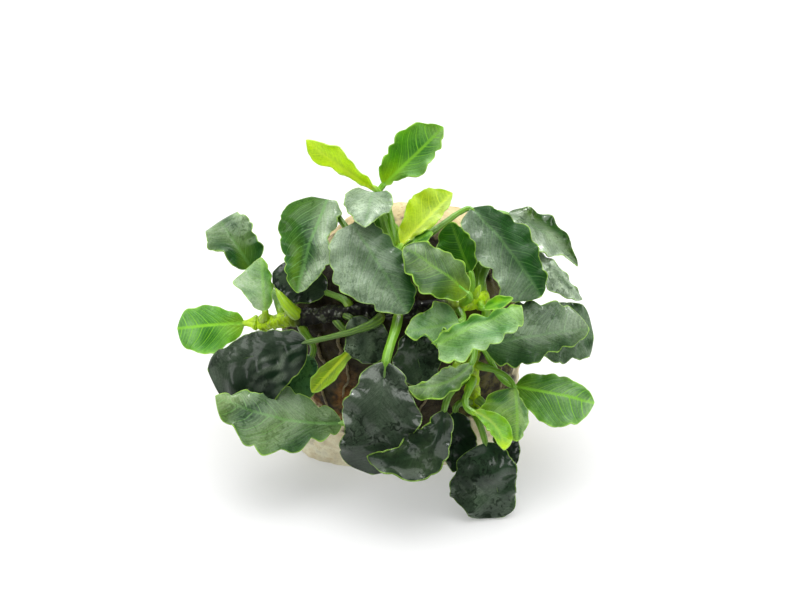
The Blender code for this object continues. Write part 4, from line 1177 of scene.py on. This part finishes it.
def build_stalk(leaf, finish, seed):
    """The stalk, from the sheath that clasps the rhizome to the end of the midrib."""
    settings = bpy.context.scene.anubias_leaves
    bends, drop = stalk_bends(leaf)
    free = route_length(partial(bezier, bends))
    length = free + blade_length(leaf)
    part = free / length

    def down(shares):
        return np.clip(shares / part, 0, 1)

    def along_blade(shares):
        return np.clip((shares - part) / (1 - part), 0, 1)

    def route(shares):
        t = along_blade(shares) * (0.96 - 0.07 * leaf.droop)
        middle, _, _, face = blade_frames(leaf, t)
        below = (midrib_radius(leaf, t) + MIDRIB_GAP) * smooth_step(t, 0, 0.06)
        rib = middle - np.maximum(below, drop)[:, None] * face
        return np.where((shares < part)[:, None], bezier(bends, down(shares)), rib)

    def radius(shares, turns):
        foot = (1 - down(shares)) ** 3 * smooth_step(down(shares), 0, 0.15)
        stalk = leaf.stalk + (SHEATH_RADIUS - leaf.stalk) * foot
        blend = smooth_step(shares, part - 0.01, part + 0.03)
        rib = leaf.stalk * (1 - blend) + midrib_radius(leaf, along_blade(shares)) * blend
        ridges = 0.035 * np.cos(STALK_RIDGES * turns + 4 * shares) * (1 - blend)
        channel = -0.10 * np.exp(-((turns - math.pi / 2) / 0.5) ** 2) * (1 - blend)
        spots = np.column_stack((shares * length, np.cos(turns), np.sin(turns)))
        bumps = 0.05 * ripples(spots, 4, seed)
        wings = leaf.sheath * np.cos(turns) ** 2 * (1 - down(shares)) ** 2
        wings *= smooth_step(down(shares), 0, 0.3)
        ends = np.sqrt(np.clip(np.minimum(shares * 60, (1 - shares) * 40), 0, 1))
        return np.where(shares < part, stalk, rib) * ends * (1 + ridges + channel + bumps + wings)

    def tint_at(shares):
        sheath = smooth_step(shares * length, SHEATH_LENGTH * (0.6 + leaf.sheath), 2)
        sheath = (sheath * min(1, 0.15 + leaf.sheath))[:, None]
        stalk_colour = np.array(settings.stalk_colour) * leaf.stalk_light
        foot_colour = np.array(settings.sheath_colour) * leaf.stalk_light
        tint = stalk_colour + sheath * (foot_colour - stalk_colour)
        inside = smooth_step(shares, part - 0.04, part + 0.08)[:, None]
        return tint + inside * 0.75 * (leaf_green(leaf) * 1.5 - tint)

    made = add_tube(
        f"leaf_{leaf.name}_stalk", route, radius, length, sides=24, step=0.4,
        first_way=blade_frames(leaf, [0])[2][0], bend=STALK_BEND, tint=tint_at)
    made.data.materials.append(finish)
    return made


def build_leaf(leaf, finishes, seed):
    blade = build_blade(leaf, finishes, seed)
    stalk = build_stalk(leaf, finishes["stalk"], seed)
    choose(blade, stalk)
    bpy.ops.object.join()
    finish_piece(blade, "leaf_" + leaf.name, leaf.tone)


# ---------------------------------------------------------------- operators

class ANUBIAS_OT_stone(bpy.types.Operator):
    """Model the stone"""
    bl_idname = "anubias.stone"
    bl_label = "Stone"

    def execute(self, context):
        build_stone(context.scene.anubias_stone)
        return {"FINISHED"}


class ANUBIAS_OT_rhizomes(bpy.types.Operator):
    """Model the creeping stems"""
    bl_idname = "anubias.rhizomes"
    bl_label = "Creeping stems"

    def execute(self, context):
        finish = rhizome_finish()
        for seed, name in enumerate(RHIZOMES):
            build_rhizome(name, finish, seed)
        return {"FINISHED"}


class ANUBIAS_OT_leaves(bpy.types.Operator):
    """Model every leaf with its stalk"""
    bl_idname = "anubias.leaves"
    bl_label = "Leaves"

    def execute(self, context):
        finishes = {name: blade_finish("blade_" + name, tone) for name, tone in TONES.items()}
        finishes["under"] = underside_finish()
        finishes["stalk"] = stalk_finish()
        for seed, leaf in enumerate(LEAVES):
            build_leaf(leaf, finishes, 10 * seed + 3)
        return {"FINISHED"}


class ANUBIAS_OT_shoots(bpy.types.Operator):
    """Model the new leaves that are still rolled"""
    bl_idname = "anubias.shoots"
    bl_label = "Shoots"

    def execute(self, context):
        finish = shoot_finish()
        for name in SHOOTS:
            build_shoot(name, finish)
        return {"FINISHED"}


class ANUBIAS_OT_roots(bpy.types.Operator):
    """Lay the roots over the stone"""
    bl_idname = "anubias.roots"
    bl_label = "Roots"

    def execute(self, context):
        stone = bpy.data.objects["stone_body"]
        finish = root_finish()
        for seed, name in enumerate(ROOTS):
            build_root(name, finish, stone, seed)
        return {"FINISHED"}


def add_light(name, kind, turn, strength, **settings):
    """A lamp that looks down its own -Z; turn is its rotation in degrees."""
    lamp = bpy.data.lights.new(name, kind)
    lamp.energy = strength
    for key, value in settings.items():
        setattr(lamp, key, value)
    made = bpy.data.objects.new(name, lamp)
    made.rotation_euler = [math.radians(angle) for angle in turn]
    bpy.context.scene.collection.objects.link(made)
    return made


def lay_floor(settings):
    bpy.ops.object.select_all(action="DESELECT")
    bpy.ops.mesh.primitive_plane_add(size=settings.floor_size)
    floor = bpy.context.object
    floor.name = "floor"
    finish = Finish(
        "floor_paper", Roughness=1.0, Specular_IOR_Level=0.0,
        Emission_Color=(0.985, 1.0, 0.99), Emission_Strength=settings.floor_glow)
    cloud = finish.noise(300) * 0.1
    shade = finish.mix(cloud, settings.floor_colour, (0.18, 0.18, 0.18))
    floor.data.materials.append(finish.wear(Base_Color=shade))


def hang_lights(settings):
    """Each sun: name, turn, strength, the breadth of its disc in degrees, and whether its
    light is seen in the shines alone (True), outside them alone (False) or in all."""
    lean = (-settings.overhead_tilt, 0, 0)
    for name, turn, strength, breadth, in_shines in (
            ("overhead", lean, settings.overhead_power, 96, False),
            ("shine", lean, settings.overhead_shine, 72, True),
            ("glint", (-26, 12, 0), settings.glint_power, 16, True),
            ("top", (0, 0, 0), settings.top_power, 40, False),
            ("behind", (-62, 0, 0), settings.back_power, 36, None),
            ("fill", (50, 0, 0), settings.fill_power, 110, False)):
        sun = add_light(name, "SUN", turn, strength, angle=math.radians(breadth))
        if in_shines is not None:
            sun.visible_diffuse, sun.visible_glossy = not in_shines, in_shines
    for name, side in (("left", -1), ("right", 1)):
        strip = add_light(
            name, "AREA", (0, 68 * side, 0), settings.side_power,
            shape="RECTANGLE", size=0.18, size_y=0.7)
        strip.location = (0.75 * side, -0.15, 0.40)
        strip.visible_camera = False
    air = bpy.data.worlds.new("air")
    air.use_nodes = True
    backdrop = air.node_tree.nodes["Background"]
    backdrop.inputs["Color"].default_value = (0.96, 0.98, 1.0, 1)
    backdrop.inputs["Strength"].default_value = settings.air_strength
    bpy.context.scene.world = air


def set_camera(settings):
    camera = bpy.data.objects.new("camera", bpy.data.cameras.new("camera"))
    camera.data.lens = settings.lens
    camera.data.sensor_width = SENSOR_WIDTH
    camera.data.clip_start = 0.05
    camera.location = place([(*CAMERA_AIM, settings.distance / MM)])[0]
    camera.rotation_euler = (math.radians(90) - FRONT_LEAN, 0, 0)
    bpy.context.scene.collection.objects.link(camera)
    bpy.context.scene.camera = camera


class ANUBIAS_OT_stage(bpy.types.Operator):
    """Set the floor, the lights and the camera"""
    bl_idname = "anubias.stage"
    bl_label = "Stage"

    def execute(self, context):
        settings = context.scene.anubias_stage
        lay_floor(settings)
        hang_lights(settings)
        set_camera(settings)
        context.scene.view_settings.view_transform = "Standard"
        return {"FINISHED"}


class ANUBIAS_PT_panel(bpy.types.Panel):
    """Lists what builds the plant"""
    bl_idname = "ANUBIAS_PT_panel"
    bl_label = "Anubias on a stone"
    bl_space_type = "VIEW_3D"
    bl_region_type = "UI"
    bl_category = "Anubias"

    def draw(self, context):
        for operator in OPERATORS:
            self.layout.operator(operator.bl_idname)
        for name, settings in SETTINGS.items():
            box = self.layout.box()
            for key in settings.__annotations__:
                box.prop(getattr(context.scene, name), key)


SETTINGS = {
    "anubias_stone": StoneSettings,
    "anubias_leaves": LeafSettings,
    "anubias_stems": StemSettings,
    "anubias_stage": StageSettings,
}
OPERATORS = (
    ANUBIAS_OT_stone, ANUBIAS_OT_rhizomes, ANUBIAS_OT_leaves, ANUBIAS_OT_shoots,
    ANUBIAS_OT_roots, ANUBIAS_OT_stage,
)
CLASSES = (*SETTINGS.values(), *OPERATORS, ANUBIAS_PT_panel)


def register():
    for item in CLASSES:
        bpy.utils.register_class(item)
    for name, settings in SETTINGS.items():
        setattr(bpy.types.Scene, name, PointerProperty(type=settings))


def unregister():
    for name in SETTINGS:
        delattr(bpy.types.Scene, name)
    for item in reversed(CLASSES):
        bpy.utils.unregister_class(item)


def main():
    register()
    bpy.ops.anubias.stone()
    bpy.ops.anubias.rhizomes()
    bpy.ops.anubias.leaves()
    bpy.ops.anubias.shoots()
    bpy.ops.anubias.roots()
    bpy.ops.anubias.stage()


if __name__ == "__main__":
    main()
